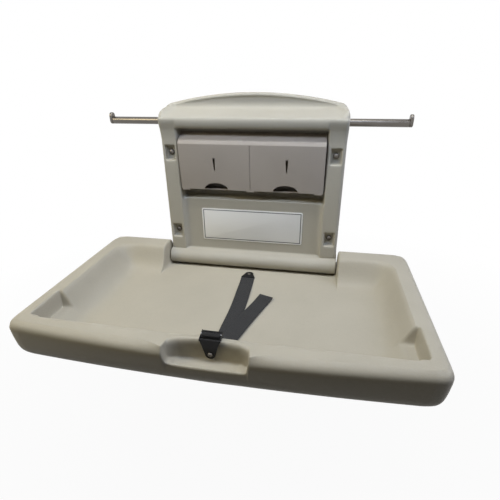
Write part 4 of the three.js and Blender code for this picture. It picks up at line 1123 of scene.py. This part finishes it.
@dataclass
class LinerDispenser:
    """The two-bay cover with its sight slots, thumb cut-outs and middle groove."""

    material: bpy.types.Material
    wall: float = 3 * MM
    face_foot: float = 68 * MM  # wall to the face's foot
    face_top: float = 147 * MM
    widen: float = 3 * MM
    bevel: float = 6 * MM
    sight: tuple = (70 * MM, 104 * MM, 3 * MM, 7 * MM)  # foot, top, width at the foot and the top
    thumb: tuple = (34 * MM, 19 * MM, 2 * MM)  # half width, height, shift to the middle
    groove: tuple = (1.8 * MM, 1.2 * MM)  # width and depth

    def build(self) -> bpy.types.Object:
        """Build the cover and hand it to the wall unit."""
        low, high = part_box("dispenser_cover")
        low.x, high.x = low.x - self.widen, high.x + self.widen
        cover = Bench.block("dispenser_cover_moulding", low, high)
        with Bench.editing(cover):
            Bench.pick(lambda co: co.y < low.y + HAIR and co.z < low.z + HAIR)
            bpy.ops.transform.translate(value=(0, -self.face_foot - low.y, 0))
            Bench.pick(lambda co: co.y < low.y + HAIR and co.z > high.z - HAIR)
            bpy.ops.transform.translate(value=(0, -0.4 * MM, self.face_top - high.z))
            Bench.pick(lambda co: co.y < low.y and co.z > self.face_top - HAIR)
            bpy.ops.mesh.bevel(offset=self.bevel, segments=1)
            Bench.pick_faces(lambda face: face.normal.y > 0.9 or face.normal.z < -0.9)
            bpy.ops.mesh.delete(type="FACE")
            Bench.bevel_sharp(1.3 * MM, 3, 20.0)
        Bench.apply(cover, "SOLIDIFY", thickness=self.wall, offset=-1.0)
        bay = high.x / 2
        for side in (-1, 1):
            self.cut_sight(cover, side * bay, low.y)
            self.cut_thumb(cover, side * (bay - self.thumb[2]), low)
        width, deep = self.groove
        groove = Bench.block("groove", (-width / 2, low.y - 5 * MM, low.z - MM),
                             (width / 2, low.y + deep, self.face_top - self.bevel))
        with Bench.editing(groove):
            Bench.pick(lambda co: co.z < low.z and co.y > low.y)
            bpy.ops.transform.translate(value=(0, -self.face_foot - low.y, 0))
        Bench.cut(cover, groove)
        Bench.smooth(cover, 30.0)
        return Bench.deliver(cover, Body.WALL, Slot.DISPENSER, self.material, "dispenser_cover")

    def cut_sight(self, cover: bpy.types.Object, x: float, face: float) -> None:
        """Cut one tapered slot that shows how many liners are left."""
        foot, top, narrow, wide = self.sight
        cutter = Bench.block("sight", (x - wide / 2, face - 10 * MM, foot), (x + wide / 2, face + 15 * MM, top))
        with Bench.editing(cutter):
            Bench.pick(lambda co: co.z < foot + HAIR)
            bpy.ops.transform.resize(value=(narrow / wide, 1, 1), center_override=(x, 0, 0))
            Bench.bevel_sharp(0.9 * MM, 2)
        Bench.cut(cover, cutter)

    def cut_thumb(self, cover: bpy.types.Object, x: float, low: Vector) -> None:
        """Cut one half-round opening in the cover's lower edge."""
        half, height, _ = self.thumb
        start = Vector((x, low.y - 10 * MM, low.z))
        cutter = Bench.rod("thumb", half, start, start + Vector((0, 22 * MM, 0)), 64)
        with Bench.editing(cutter):
            bpy.ops.mesh.select_all(action="SELECT")
            bpy.ops.transform.resize(value=(1, 1, height / half), center_override=start)
        Bench.cut(cover, cutter)


@dataclass
class HookBar:
    """The bag bar and its upturned ends."""

    material: bpy.types.Material
    lip_round: float = 1.6 * MM

    def build(self) -> list[bpy.types.Object]:
        """Build the bar and both ends, and hand them to the wall unit."""
        low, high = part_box("hook_bar")
        middle = (low + high) / 2
        radius = (high.z - low.z) / 2
        bar = Bench.rod("hook_bar_tube", radius, (low.x, middle.y, middle.z), (high.x, middle.y, middle.z), 72)
        with Bench.editing(bar):
            Bench.bevel_sharp(0.4 * MM, 2, 40.0)
        Bench.smooth(bar, 35.0)
        pieces = [Bench.deliver(bar, Body.WALL, Slot.STAINLESS, self.material, "hook_bar")]
        for side in SIDES:
            node = f"hook_bar_end_{side}"
            end_low, end_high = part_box(node)
            rise = (end_high.z - end_low.z) - 2 * radius
            end = Bench.rod(f"hook_bar_lip_{side}", radius, (end_low.x, middle.y, middle.z),
                            (end_high.x, middle.y, middle.z), 72)
            with Bench.editing(end):
                Bench.pick(lambda co: co.z > middle.z + HAIR)
                bpy.ops.transform.translate(value=(0, 0, rise))
                Bench.bevel_sharp(self.lip_round, 4, 40.0)
            Bench.smooth(end, 35.0)
            pieces.append(Bench.deliver(end, Body.WALL, Slot.STAINLESS, self.material, node))
        return pieces


@dataclass
class DomedFasteners:
    """Domed screws and rivets, each turned to face out of its seat."""

    material: bpy.types.Material

    def head(self, name: str, seat: Vector, out: Vector, radius: float, rise: float,
             tail: float, shank: float, socket: float) -> bpy.types.Object:
        """Build one domed fastener.

        Args:
            name: The piece's name.
            seat: Where the head sits.
            out: The way that the head faces.
            radius: The head's radius.
            rise: The head's height.
            tail: The shank's length.
            shank: The shank's radius.
            socket: The drive's radius, or a rivet's dimple.

        Returns:
            The fastener.
        """
        piece = Bench.rod(name, radius, seat, seat + out * rise, 48)

        def top(face: bmesh.types.BMFace) -> bool:
            return face.normal.dot(out) > 0.9 and (face.calc_center_median() - seat).dot(out) > 0.9 * rise

        def foot(face: bmesh.types.BMFace) -> bool:
            return face.normal.dot(out) < -0.9

        with Bench.editing(piece, "FACE"):
            Bench.pick_faces(foot)
            bpy.ops.mesh.inset(thickness=radius - shank)
            bpy.ops.mesh.extrude_region_move(TRANSFORM_OT_translate={"value": -out * tail})
            Bench.pick_faces(top)
            bpy.ops.mesh.bevel(offset=0.92 * rise, segments=7, affect="EDGES", profile=0.5)
            bpy.ops.mesh.select_mode(type="FACE")
            Bench.pick_faces(top)
            reach = max(math.hypot(*(v.co - seat - out * rise)) for f in
                        bmesh.from_edit_mesh(piece.data).faces if f.select for v in f.verts)
            bpy.ops.mesh.inset(thickness=reach - socket)
            bpy.ops.mesh.extrude_region_move(TRANSFORM_OT_translate={"value": -out * 0.45 * rise})
        Bench.smooth(piece, 40.0)
        return piece

    def build(self) -> list[bpy.types.Object]:
        """Build the wall screws and the strap's rivets."""
        pieces = []
        for corner in ("ul", "ur", "ll", "lr"):
            node = f"wall_screw_{corner}"
            low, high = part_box(node)
            middle = (low + high) / 2
            radius = (high.x - low.x) / 2
            seat = Vector((middle.x, low.y + 5 * MM, middle.z))
            screw = self.head(f"{node}_domed", seat, Vector((0, -1, 0)), radius, 5 * MM,
                              seat.y * -1 - MM, 3 * MM, 2.6 * MM)
            pieces.append(Bench.deliver(screw, Body.WALL, Slot.STAINLESS, self.material, node))
        for node, out in (("rear_anchor_rivet", Vector((0, 0, 1))), ("buckle_rivet", Vector((0, -1, 0)))):
            low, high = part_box(node)
            middle = (low + high) / 2
            top = Vector((middle.x, middle.y, high.z)) if out.z else Vector((middle.x, low.y, middle.z))
            length = high.z - low.z if out.z else high.y - low.y
            rivet = self.head(f"{node}_domed", top - out * 2 * MM, out, 5 * MM, 2 * MM,
                              length - 2 * MM, 2.5 * MM, 1.5 * MM)
            pieces.append(Bench.deliver(rivet, Body.BED, Slot.STAINLESS, self.material, node))
        return pieces


@dataclass
class LabelPlate:
    """The bare plate on the lower panel."""

    corner: float = 4 * MM

    def build(self) -> bpy.types.Object:
        """Build the plate and hand it to the wall unit."""
        low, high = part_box("label_plate")
        middle = (low + high) / 2
        plate = Bench.block("label_plate_bare", low, high)
        with Bench.editing(plate, "EDGE"):
            form = bmesh.from_edit_mesh(plate.data)
            for edge in form.edges:
                edge.select_set(abs(edge.verts[0].co.y - edge.verts[1].co.y) > HAIR)
            bmesh.update_edit_mesh(plate.data)
            bpy.ops.mesh.bevel(offset=self.corner, segments=6)
            Bench.bevel_sharp(0.3 * MM, 2, 60.0)
        Bench.smooth(plate, 30.0)
        half = ((high.x - low.x) / 2, (high.z - low.z) / 2)
        finish = BorderedPlate("label_bare", (0.86, 0.855, 0.83), (0.05, 0.05, 0.055), middle, half)
        return Bench.deliver(plate, Body.WALL, Slot.LABEL, finish.make(), "label_plate")


@dataclass
class SafetyStrap:
    """One length of webbing: along the floor, over the front rim, round the buckle's base and back."""

    tray: bpy.types.Object
    width: float = 38 * MM
    thick: float = 1.2 * MM
    gap: float = 0.3 * MM
    floor: float = -66 * MM
    anchor: tuple = (5 * MM, -92 * MM)
    buckle_x: float = 2.5 * MM
    sway: float = 5 * MM
    tail_drift: float = 9 * MM  # sideways, as the tail comes down the front wall
    foot: float = -407 * MM  # where the well's floor turns up
    crest_end: float = -453 * MM
    base_front: float = -454.8 * MM
    tail: float = 227 * MM
    tail_yaw: tuple = (0.25, 0.33)  # radians, where it leaves the wall and at its end
    step: float = 3 * MM

    def __post_init__(self) -> None:
        """Read the bed's own origin, and feel the moulding from the well's floor over its front crest."""
        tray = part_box("bed_tray")[1]
        self.origin = Vector((0, tray.y, tray.z))
        self.surface = []
        count = round((self.foot - self.crest_end) / (0.5 * MM))
        for k in range(count + 1):
            above = Vector((self.buckle_x, self.foot + (self.crest_end - self.foot) * k / count, 100 * MM))
            _, place, _, _ = self.tray.ray_cast(self.origin + above, Vector((0, 0, -1)))
            self.surface.append((above.y, place.z - self.origin.z))

    def over_rim(self, offset: float, top_offset: float) -> list[tuple[float, float]]:
        """Draw a line off the felt surface.

        Args:
            offset: The distance from it on the floor.
            top_offset: The distance from it on the rim.

        Returns:
            Points from the floor to the rim, as y and z.
        """
        points = []
        for before, (y, z), after in zip(self.surface, self.surface[1:], self.surface[2:]):
            along = Vector((after[0] - before[0], after[1] - before[1])).normalized()
            reach = offset + (top_offset - offset) * ease(1 - z / self.floor)
            points.append((y + along.y * reach, z - along.x * reach))
        return points

    def route(self) -> list[Vector]:
        """The strap's middle line in the bed's own frame, whose origin is on the rim at the back edge."""
        low = self.gap + self.thick / 2
        high = low + self.thick + self.gap
        buckled = high + 1.5 * MM
        front = self.foot
        points = []
        for k in range(40):
            share = k / 40
            x = self.anchor[0] + (self.buckle_x - self.anchor[0]) * share + self.sway * math.sin(math.pi * share)
            lift = 0.9 * MM * (1 - math.cos(4 * math.pi * share)) * ease(share * 4) * ease((1 - share) * 4)
            points.append(Vector((x, self.anchor[1] + (front - self.anchor[1]) * share, self.floor + low + lift)))
        points += [Vector((self.buckle_x, y, z)) for y, z in self.over_rim(low, low)]
        turn = (buckled - low) / 2
        for k in range(9):
            angle = k / 8 * math.pi
            points.append(Vector((self.buckle_x, self.base_front - turn * math.sin(angle),
                                  low + turn - turn * math.cos(angle))))
        back_down = list(reversed(self.over_rim(high, buckled)))
        for k, (y, z) in enumerate(back_down):
            drift = self.tail_drift * ease((k / (len(back_down) - 1) - 0.4) / 0.6)
            points.append(Vector((self.buckle_x + drift, y, z)))
        x, y = self.buckle_x + self.tail_drift, front
        count = 60
        stride = self.tail / count
        for k in range(1, count + 1):
            share = k / count
            first, last = self.tail_yaw
            yaw = ease(share * 6) * (first + (last - first) * share)
            x += stride * math.sin(yaw)
            y += stride * math.cos(yaw)
            lift = 1.6 * MM * math.sin(math.pi * share) ** 2 + 3.0 * MM * ease((share - 0.82) / 0.18)
            points.append(Vector((x, y, self.floor + high + lift)))
        return points

    def evened(self, points: list[Vector]) -> list[Vector]:
        """The same line in equal steps."""
        lengths = [0.0]
        for first, second in zip(points, points[1:]):
            lengths.append(lengths[-1] + (second - first).length)
        self.length = lengths[-1]
        count = round(self.length / self.step)
        even, k = [], 0
        for n in range(count + 1):
            target = self.length * n / count
            while k < len(points) - 2 and lengths[k + 1] < target:
                k += 1
            share = (target - lengths[k]) / max(lengths[k + 1] - lengths[k], 1e-9)
            even.append(points[k].lerp(points[k + 1], share))
        return even

    def build(self) -> bpy.types.Object:
        """Build the strap from a long grid laid along its route, and hand it to the bed."""
        line = self.evened(self.route())
        columns = 8
        Bench.clear()
        bpy.ops.mesh.primitive_grid_add(x_subdivisions=columns, y_subdivisions=len(line) - 1, size=1.0)
        strap = Bench.named("safety_strap_webbing")
        for k, centre in enumerate(line):
            before, after = line[max(0, k - 2)], line[min(len(line) - 1, k + 2)]
            along = (after - before).normalized()
            flat = Vector((along.x, along.y, 0.0))
            heading = flat.normalized() if flat.length > 0.5 else Vector((0, math.copysign(1, along.y or 1), 0))
            side = Vector((abs(heading.y), -heading.x * math.copysign(1, heading.y), 0)).normalized()
            for c in range(columns + 1):
                across = (c / columns - 0.5) * self.width
                strap.data.vertices[k * (columns + 1) + c].co = self.origin + centre + side * across
        Bench.apply(strap, "SOLIDIFY", thickness=self.thick, offset=0.0, use_rim=True)
        with Bench.editing(strap):
            Bench.bevel_sharp(0.35 * MM, 2, 60.0)
        Bench.smooth(strap, 60.0)
        finish = WovenWebbing("webbing_woven", (0.013, 0.013, 0.014), self.width, self.length)
        Bench.deliver(strap, Body.BED, Slot.WEBBING, finish.make(), "safety_strap")
        log.info("strap length %.3f m", self.length)
        return strap


@dataclass
class StrapHardware:
    """The rear anchor tab and the cam buckle with its lever, pin and hanger."""

    black: bpy.types.Material
    steel: bpy.types.Material
    tab_round: float = 12 * MM
    tab_front: float = 19 * MM  # rivet forward to the tab's front edge
    cheek: float = 1.6 * MM
    lever_reach: float = 11.5 * MM  # cam's axis forward to the lever's front edge

    def tab(self, name: str, pivot: Vector, out: Vector, towards: Vector, radius: float, reach: float,
            half: float, thick: float) -> bpy.types.Object:
        """Build a flat tab, round about a rivet and widening to a straight edge.

        Args:
            name: The piece's name.
            pivot: The rivet's place on the tab's seat.
            out: The tab's facing.
            towards: The way from the rivet to the straight edge.
            radius: The round end's radius.
            reach: The rivet's distance to the straight edge.
            half: Half the straight edge's width.
            thick: The tab's thickness.

        Returns:
            The tab.
        """
        piece = Bench.rod(name, radius, pivot, pivot + out * thick, 48)
        squash = [1.0, 1.0, 1.0]
        for k in range(3):
            if abs(towards[k]) > 0.5:
                squash[k] = 0.0
        squash[0] = half / radius
        with Bench.editing(piece):
            Bench.pick(lambda co: (co - pivot).dot(towards) > HAIR)
            bpy.ops.transform.resize(value=squash, center_override=pivot + towards * reach)
            bpy.ops.mesh.select_all(action="SELECT")
            bpy.ops.mesh.remove_doubles(threshold=0.01 * MM)
            Bench.bevel_sharp(0.45 * MM, 3, 40.0)
        return piece

    def build_anchor(self) -> bpy.types.Object:
        """Build the rear anchor tab."""
        low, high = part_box("rear_anchor_plate")
        rivet = (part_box("rear_anchor_rivet")[0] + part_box("rear_anchor_rivet")[1]) / 2
        pivot = Vector((rivet.x, rivet.y, low.z))
        anchor = self.tab("rear_anchor_tab", pivot, Vector((0, 0, 1)), Vector((0, -1, 0)),
                          self.tab_round, self.tab_front, 19.5 * MM, high.z - low.z + 0.6 * MM)
        Bench.smooth(anchor, 35.0)
        return Bench.deliver(anchor, Body.BED, Slot.BLACK, self.black, "rear_anchor_plate")

    def build_frame(self) -> bpy.types.Object:
        """Build the buckle's channel and its hanger as one piece."""
        low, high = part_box("buckle_frame")
        middle = (low.x + high.x) / 2
        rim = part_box("bed_tray")[1].z
        channel = Bench.block("buckle_channel", (low.x, low.y, rim + 0.4 * MM), (high.x, high.y, high.z))
        with Bench.editing(channel, "FACE"):
            Bench.pick_faces(lambda face: abs(face.normal.x) < 0.5 and abs(face.normal.z) < 0.5 or
                             face.normal.z > 0.5 or face.normal.z < -0.5)
            bpy.ops.mesh.delete(type="FACE")
        Bench.apply(channel, "SOLIDIFY", thickness=self.cheek, offset=-1.0)
        with Bench.editing(channel):
            Bench.pick(lambda co: co.z > high.z - HAIR and co.y < low.y + MM)
            bpy.ops.transform.translate(value=(0, 0, rim + 5 * MM - high.z))
            Bench.bevel_sharp(0.5 * MM, 3, 40.0)
        base = Bench.block("buckle_base", (low.x + MM, high.y - 16.6 * MM, rim + 1.8 * MM),
                           (high.x - MM, high.y - 8.2 * MM, rim + 3 * MM))
        nose = Bench.rod("buckle_nose", 1.9 * MM, (low.x + 0.4 * MM, low.y + 2.2 * MM, rim + 3.2 * MM),
                         (high.x - 0.4 * MM, low.y + 2.2 * MM, rim + 3.2 * MM), 24)
        rivet = (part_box("buckle_rivet")[0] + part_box("buckle_rivet")[1]) / 2
        pivot = Vector((middle, low.y + 1.6 * MM, rivet.z))
        hanger = self.tab("buckle_hanger", pivot, Vector((0, -1, 0)), Vector((0, 0, 1)),
                          10.5 * MM, rim + 4.2 * MM - rivet.z, (high.x - low.x) / 2, 1.6 * MM)
        buckle = Bench.join([channel, base, nose, hanger])
        buckle.name = "buckle_frame_pressed"
        Bench.smooth(buckle, 35.0)
        return Bench.deliver(buckle, Body.BED, Slot.BLACK, self.black, "buckle_frame")

    def build_lever(self) -> bpy.types.Object:
        """Build the cam lever: hub, thumb plate and its grip ribs."""
        low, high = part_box("buckle_lever")
        axis = Vector(frame["joints"][1]["pos_m"])
        hub = Bench.rod("lever_hub", 2.4 * MM, (low.x, axis.y, axis.z), (high.x, axis.y, axis.z), 32)
        top = high.z - 0.9 * MM
        plate = Bench.block("lever_plate", (low.x, axis.y - self.lever_reach, top - 1.7 * MM), (high.x, high.y, top))
        with Bench.editing(plate):
            bpy.ops.mesh.select_all(action="SELECT")
            bpy.ops.mesh.subdivide(number_cuts=5)
            Bench.pick(lambda co: co.y < axis.y - HAIR)
            bpy.ops.transform.rotate(value=0.26, orient_axis="X", center_override=(0, axis.y, top))
            Bench.bevel_sharp(0.5 * MM, 3, 50.0)
        ribs = []
        for k in range(4):
            y = high.y - (1.8 + 2.1 * k) * MM
            rib = Bench.rod(f"lever_rib_{k}", 0.55 * MM, (low.x + 3 * MM, y, top), (high.x - 3 * MM, y, top), 12)
            with Bench.editing(rib):
                Bench.bevel_sharp(0.3 * MM, 2, 60.0)
            ribs.append(rib)
        lever = Bench.join([plate, hub, *ribs])
        lever.name = "buckle_lever_cam"
        Bench.smooth(lever, 35.0)
        return Bench.deliver(lever, Body.LEVER, Slot.BLACK, self.black, "buckle_lever")

    def build(self) -> list[bpy.types.Object]:
        """Build all of it."""
        return [self.build_anchor(), self.build_frame(), self.build_lever()]


@dataclass
class PlainWorks:
    """The CAD nodes that keep their own shape: hidden works, underside and small screws."""

    finishes: dict[Slot, bpy.types.Material]
    edge: float = 0.5 * MM

    def dress(self) -> None:
        """Give each shown node its finish, and soften its edges."""
        slots = {row["node"]: row["material_slot"] for row in frame["record"]["subparts"]}
        for name, node in frame["nodes"].items():
            if node.hide_render:
                continue
            node.data.materials.clear()
            node.data.materials.append(self.finishes[Slot(slots[name])])
            weld = node.modifiers.new("Weld", "WELD")
            weld.merge_threshold = 0.01 * MM
            flatten = node.modifiers.new("Flatten", "DECIMATE")
            flatten.decimate_type = "DISSOLVE"
            flatten.angle_limit = math.radians(0.5)
            soften = node.modifiers.new("Soften", "BEVEL")
            soften.width = self.edge
            soften.segments = 2
            soften.limit_method = "ANGLE"
            soften.angle_limit = math.radians(40.0)
            log.info("%s keeps its shape", name)


@dataclass
class Studio:
    """Floor, light, background and the photograph's camera."""

    floor_drop: float = -0.95
    camera_place: tuple = (0.18581, -1.03463, 0.30378)
    camera_turn: tuple = (-11.0157, -25.4323, -0.6306)  # yaw, pitch and roll in degrees
    lens: float = 26.349
    ambient: tuple = (0.012, 0.012, 0.012)

    def white_for_camera(self, book_tree: bpy.types.NodeTree) -> bpy.types.NodeSocket:
        """A factor that is 1 for what the camera, gloss and glass see."""
        nodes, links = book_tree.nodes, book_tree.links
        path = nodes.new("ShaderNodeLightPath")
        seen = path.outputs["Is Camera Ray"]
        for other in ("Is Glossy Ray", "Is Transmission Ray"):
            most = nodes.new("ShaderNodeMath")
            most.operation = "MAXIMUM"
            links.new(seen, most.inputs[0])
            links.new(path.outputs[other], most.inputs[1])
            seen = most.outputs[0]
        return seen

    def build_world(self) -> None:
        """White background, with a dimmer light on the object itself."""
        world = bpy.data.worlds.new("studio")
        bpy.context.scene.world = world
        world.use_nodes = True
        tree = world.node_tree
        tree.nodes.clear()
        mix = tree.nodes.new("ShaderNodeMixShader")
        dim = tree.nodes.new("ShaderNodeBackground")
        dim.inputs["Color"].default_value = (*self.ambient, 1.0)
        white = tree.nodes.new("ShaderNodeBackground")
        white.inputs["Color"].default_value = (1.0, 1.0, 1.0, 1.0)
        out = tree.nodes.new("ShaderNodeOutputWorld")
        tree.links.new(self.white_for_camera(tree), mix.inputs[0])
        tree.links.new(dim.outputs[0], mix.inputs[1])
        tree.links.new(white.outputs[0], mix.inputs[2])
        tree.links.new(mix.outputs[0], out.inputs["Surface"])

    def build_floor(self) -> None:
        """A pale floor far below, as the station hangs on a wall."""
        Bench.clear()
        bpy.ops.mesh.primitive_plane_add(size=30.0, location=(0, 0, self.floor_drop))
        floor = Bench.named("studio_floor")
        material = bpy.data.materials.new("studio_floor")
        material.use_nodes = True
        tree = material.node_tree
        tree.nodes.clear()
        lit = tree.nodes.new("ShaderNodeBsdfDiffuse")
        lit.inputs["Color"].default_value = (0.22, 0.215, 0.21, 1.0)
        white = tree.nodes.new("ShaderNodeEmission")
        mix = tree.nodes.new("ShaderNodeMixShader")
        place = tree.nodes.new("ShaderNodeTexCoord")
        away = tree.nodes.new("ShaderNodeVectorMath")
        away.operation = "LENGTH"
        fade = tree.nodes.new("ShaderNodeMapRange")
        fade.inputs["From Min"].default_value = 0.6
        fade.inputs["From Max"].default_value = 2.4
        fade.inputs["To Min"].default_value = 0.94
        tree.links.new(place.outputs["Object"], away.inputs[0])
        tree.links.new(away.outputs["Value"], fade.inputs["Value"])
        keep = tree.nodes.new("ShaderNodeMath")
        keep.operation = "MULTIPLY"
        tree.links.new(fade.outputs[0], keep.inputs[1])
        out = tree.nodes.new("ShaderNodeOutputMaterial")
        tree.links.new(self.white_for_camera(tree), keep.inputs[0])
        tree.links.new(keep.outputs[0], mix.inputs[0])
        tree.links.new(lit.outputs[0], mix.inputs[1])
        tree.links.new(white.outputs[0], mix.inputs[2])
        tree.links.new(mix.outputs[0], out.inputs["Surface"])
        floor.data.materials.append(material)

    def lamp(self, name: str, place: tuple, aim: tuple, size: tuple, power: float, colour: tuple) -> None:
        """Add one soft area lamp.

        Args:
            name: The lamp's name.
            place: Where it stands.
            aim: The point that it faces.
            size: Its width and height.
            power: Its power in watts.
            colour: Its colour.
        """
        data = bpy.data.lights.new(name, "AREA")
        data.shape = "RECTANGLE"
        data.size, data.size_y = size
        data.energy = power
        data.color = colour
        lamp = bpy.data.objects.new(name, data)
        bpy.context.scene.collection.objects.link(lamp)
        lamp.location = place
        lamp.rotation_euler = (Vector(aim) - Vector(place)).to_track_quat("-Z", "Y").to_euler()

    def build_lamps(self) -> None:
        """Soft light from above the bed, with a low lamp for the wall unit, a cool right and a warm left."""
        self.lamp("above", (0.0, -0.30, 1.35), (0.0, -0.33, 0.0), (1.5, 0.2), 13.0, (1.0, 1.0, 0.97))
        self.lamp("low", (0.0, -0.48, 0.60), (0.0, -0.10, -0.05), (1.3, 0.12), 3.4, (0.66, 0.78, 1.0))
        self.lamp("cool_right", (1.55, -0.30, 0.85), (0.0, -0.25, 0.0), (0.7, 0.9), 10.0, (0.78, 0.83, 1.0))
        self.lamp("warm_left", (-1.3, -0.90, 0.90), (0.0, -0.20, 0.0), (0.6, 0.6), 8.6, (1.0, 0.87, 0.55))

    def build_camera(self) -> None:
        """The camera at the photograph's place and angle."""
        yaw, pitch, roll = (math.radians(angle) for angle in self.camera_turn)
        ahead = Vector((math.sin(yaw) * math.cos(pitch), math.cos(yaw) * math.cos(pitch), math.sin(pitch)))
        level = Vector((math.cos(yaw), -math.sin(yaw), 0.0))
        above = level.cross(ahead)
        right = math.cos(roll) * level + math.sin(roll) * above
        up = math.cos(roll) * above - math.sin(roll) * level
        data = bpy.data.cameras.new("photo_camera")
        data.lens = self.lens
        data.sensor_width = 36.0
        camera = bpy.data.objects.new("photo_camera", data)
        bpy.context.scene.collection.objects.link(camera)
        turn = Matrix((right, up, -ahead)).transposed().to_4x4()
        camera.matrix_world = Matrix.Translation(self.camera_place) @ turn
        bpy.context.scene.camera = camera

    def build(self) -> None:
        """Build the studio."""
        bpy.context.scene.view_settings.view_transform = "Standard"
        self.build_camera()
        self.build_world()
        self.build_floor()
        self.build_lamps()


def make_finishes() -> dict[Slot, bpy.types.Material]:
    """Make the finish of every slot whose pattern doesn't depend on one piece."""
    moulded = {
        Slot.BED: MouldedPlastic("bed_polyethylene", (0.46, 0.425, 0.345)),
        Slot.HOUSING: MouldedPlastic("housing_polyethylene", (0.45, 0.425, 0.36)),
        Slot.DISPENSER: MouldedPlastic("dispenser_satin", (0.385, 0.345, 0.305), 0.42, relief=0.15 * MM, mottle=0.04),
        Slot.NYLON: MouldedPlastic("nylon_natural", (0.70, 0.68, 0.62), 0.45, relief=0.1 * MM),
        Slot.STAINLESS: BrushedMetal("stainless_satin", (0.15, 0.138, 0.125)),
        Slot.ZINC: PlatedSteel("steel_zinc_plated", (0.42, 0.43, 0.44)),
        Slot.BLACK: BlackMoulding("buckle_black", (0.009, 0.009, 0.010)),
        Slot.RUBBER: SoftRubber("bumper_rubber", (0.018, 0.018, 0.018)),
    }
    return {slot: finish.make() for slot, finish in moulded.items()}


def main() -> None:
    """Build every sub-assembly in order."""
    logging.basicConfig(level=logging.INFO, format="%(name)s: %(message)s")
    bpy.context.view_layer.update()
    Studio().build()
    finishes = make_finishes()
    tray = BedTray(finishes[Slot.BED]).build()
    WallHousing(finishes[Slot.HOUSING]).build()
    LinerDispenser(finishes[Slot.DISPENSER]).build()
    HookBar(finishes[Slot.STAINLESS]).build()
    DomedFasteners(finishes[Slot.STAINLESS]).build()
    LabelPlate().build()
    SafetyStrap(tray).build()
    StrapHardware(finishes[Slot.BLACK], finishes[Slot.ZINC]).build()
    PlainWorks(finishes).dress()
    Bench.clear()


if __name__ == "__main__":
    main()
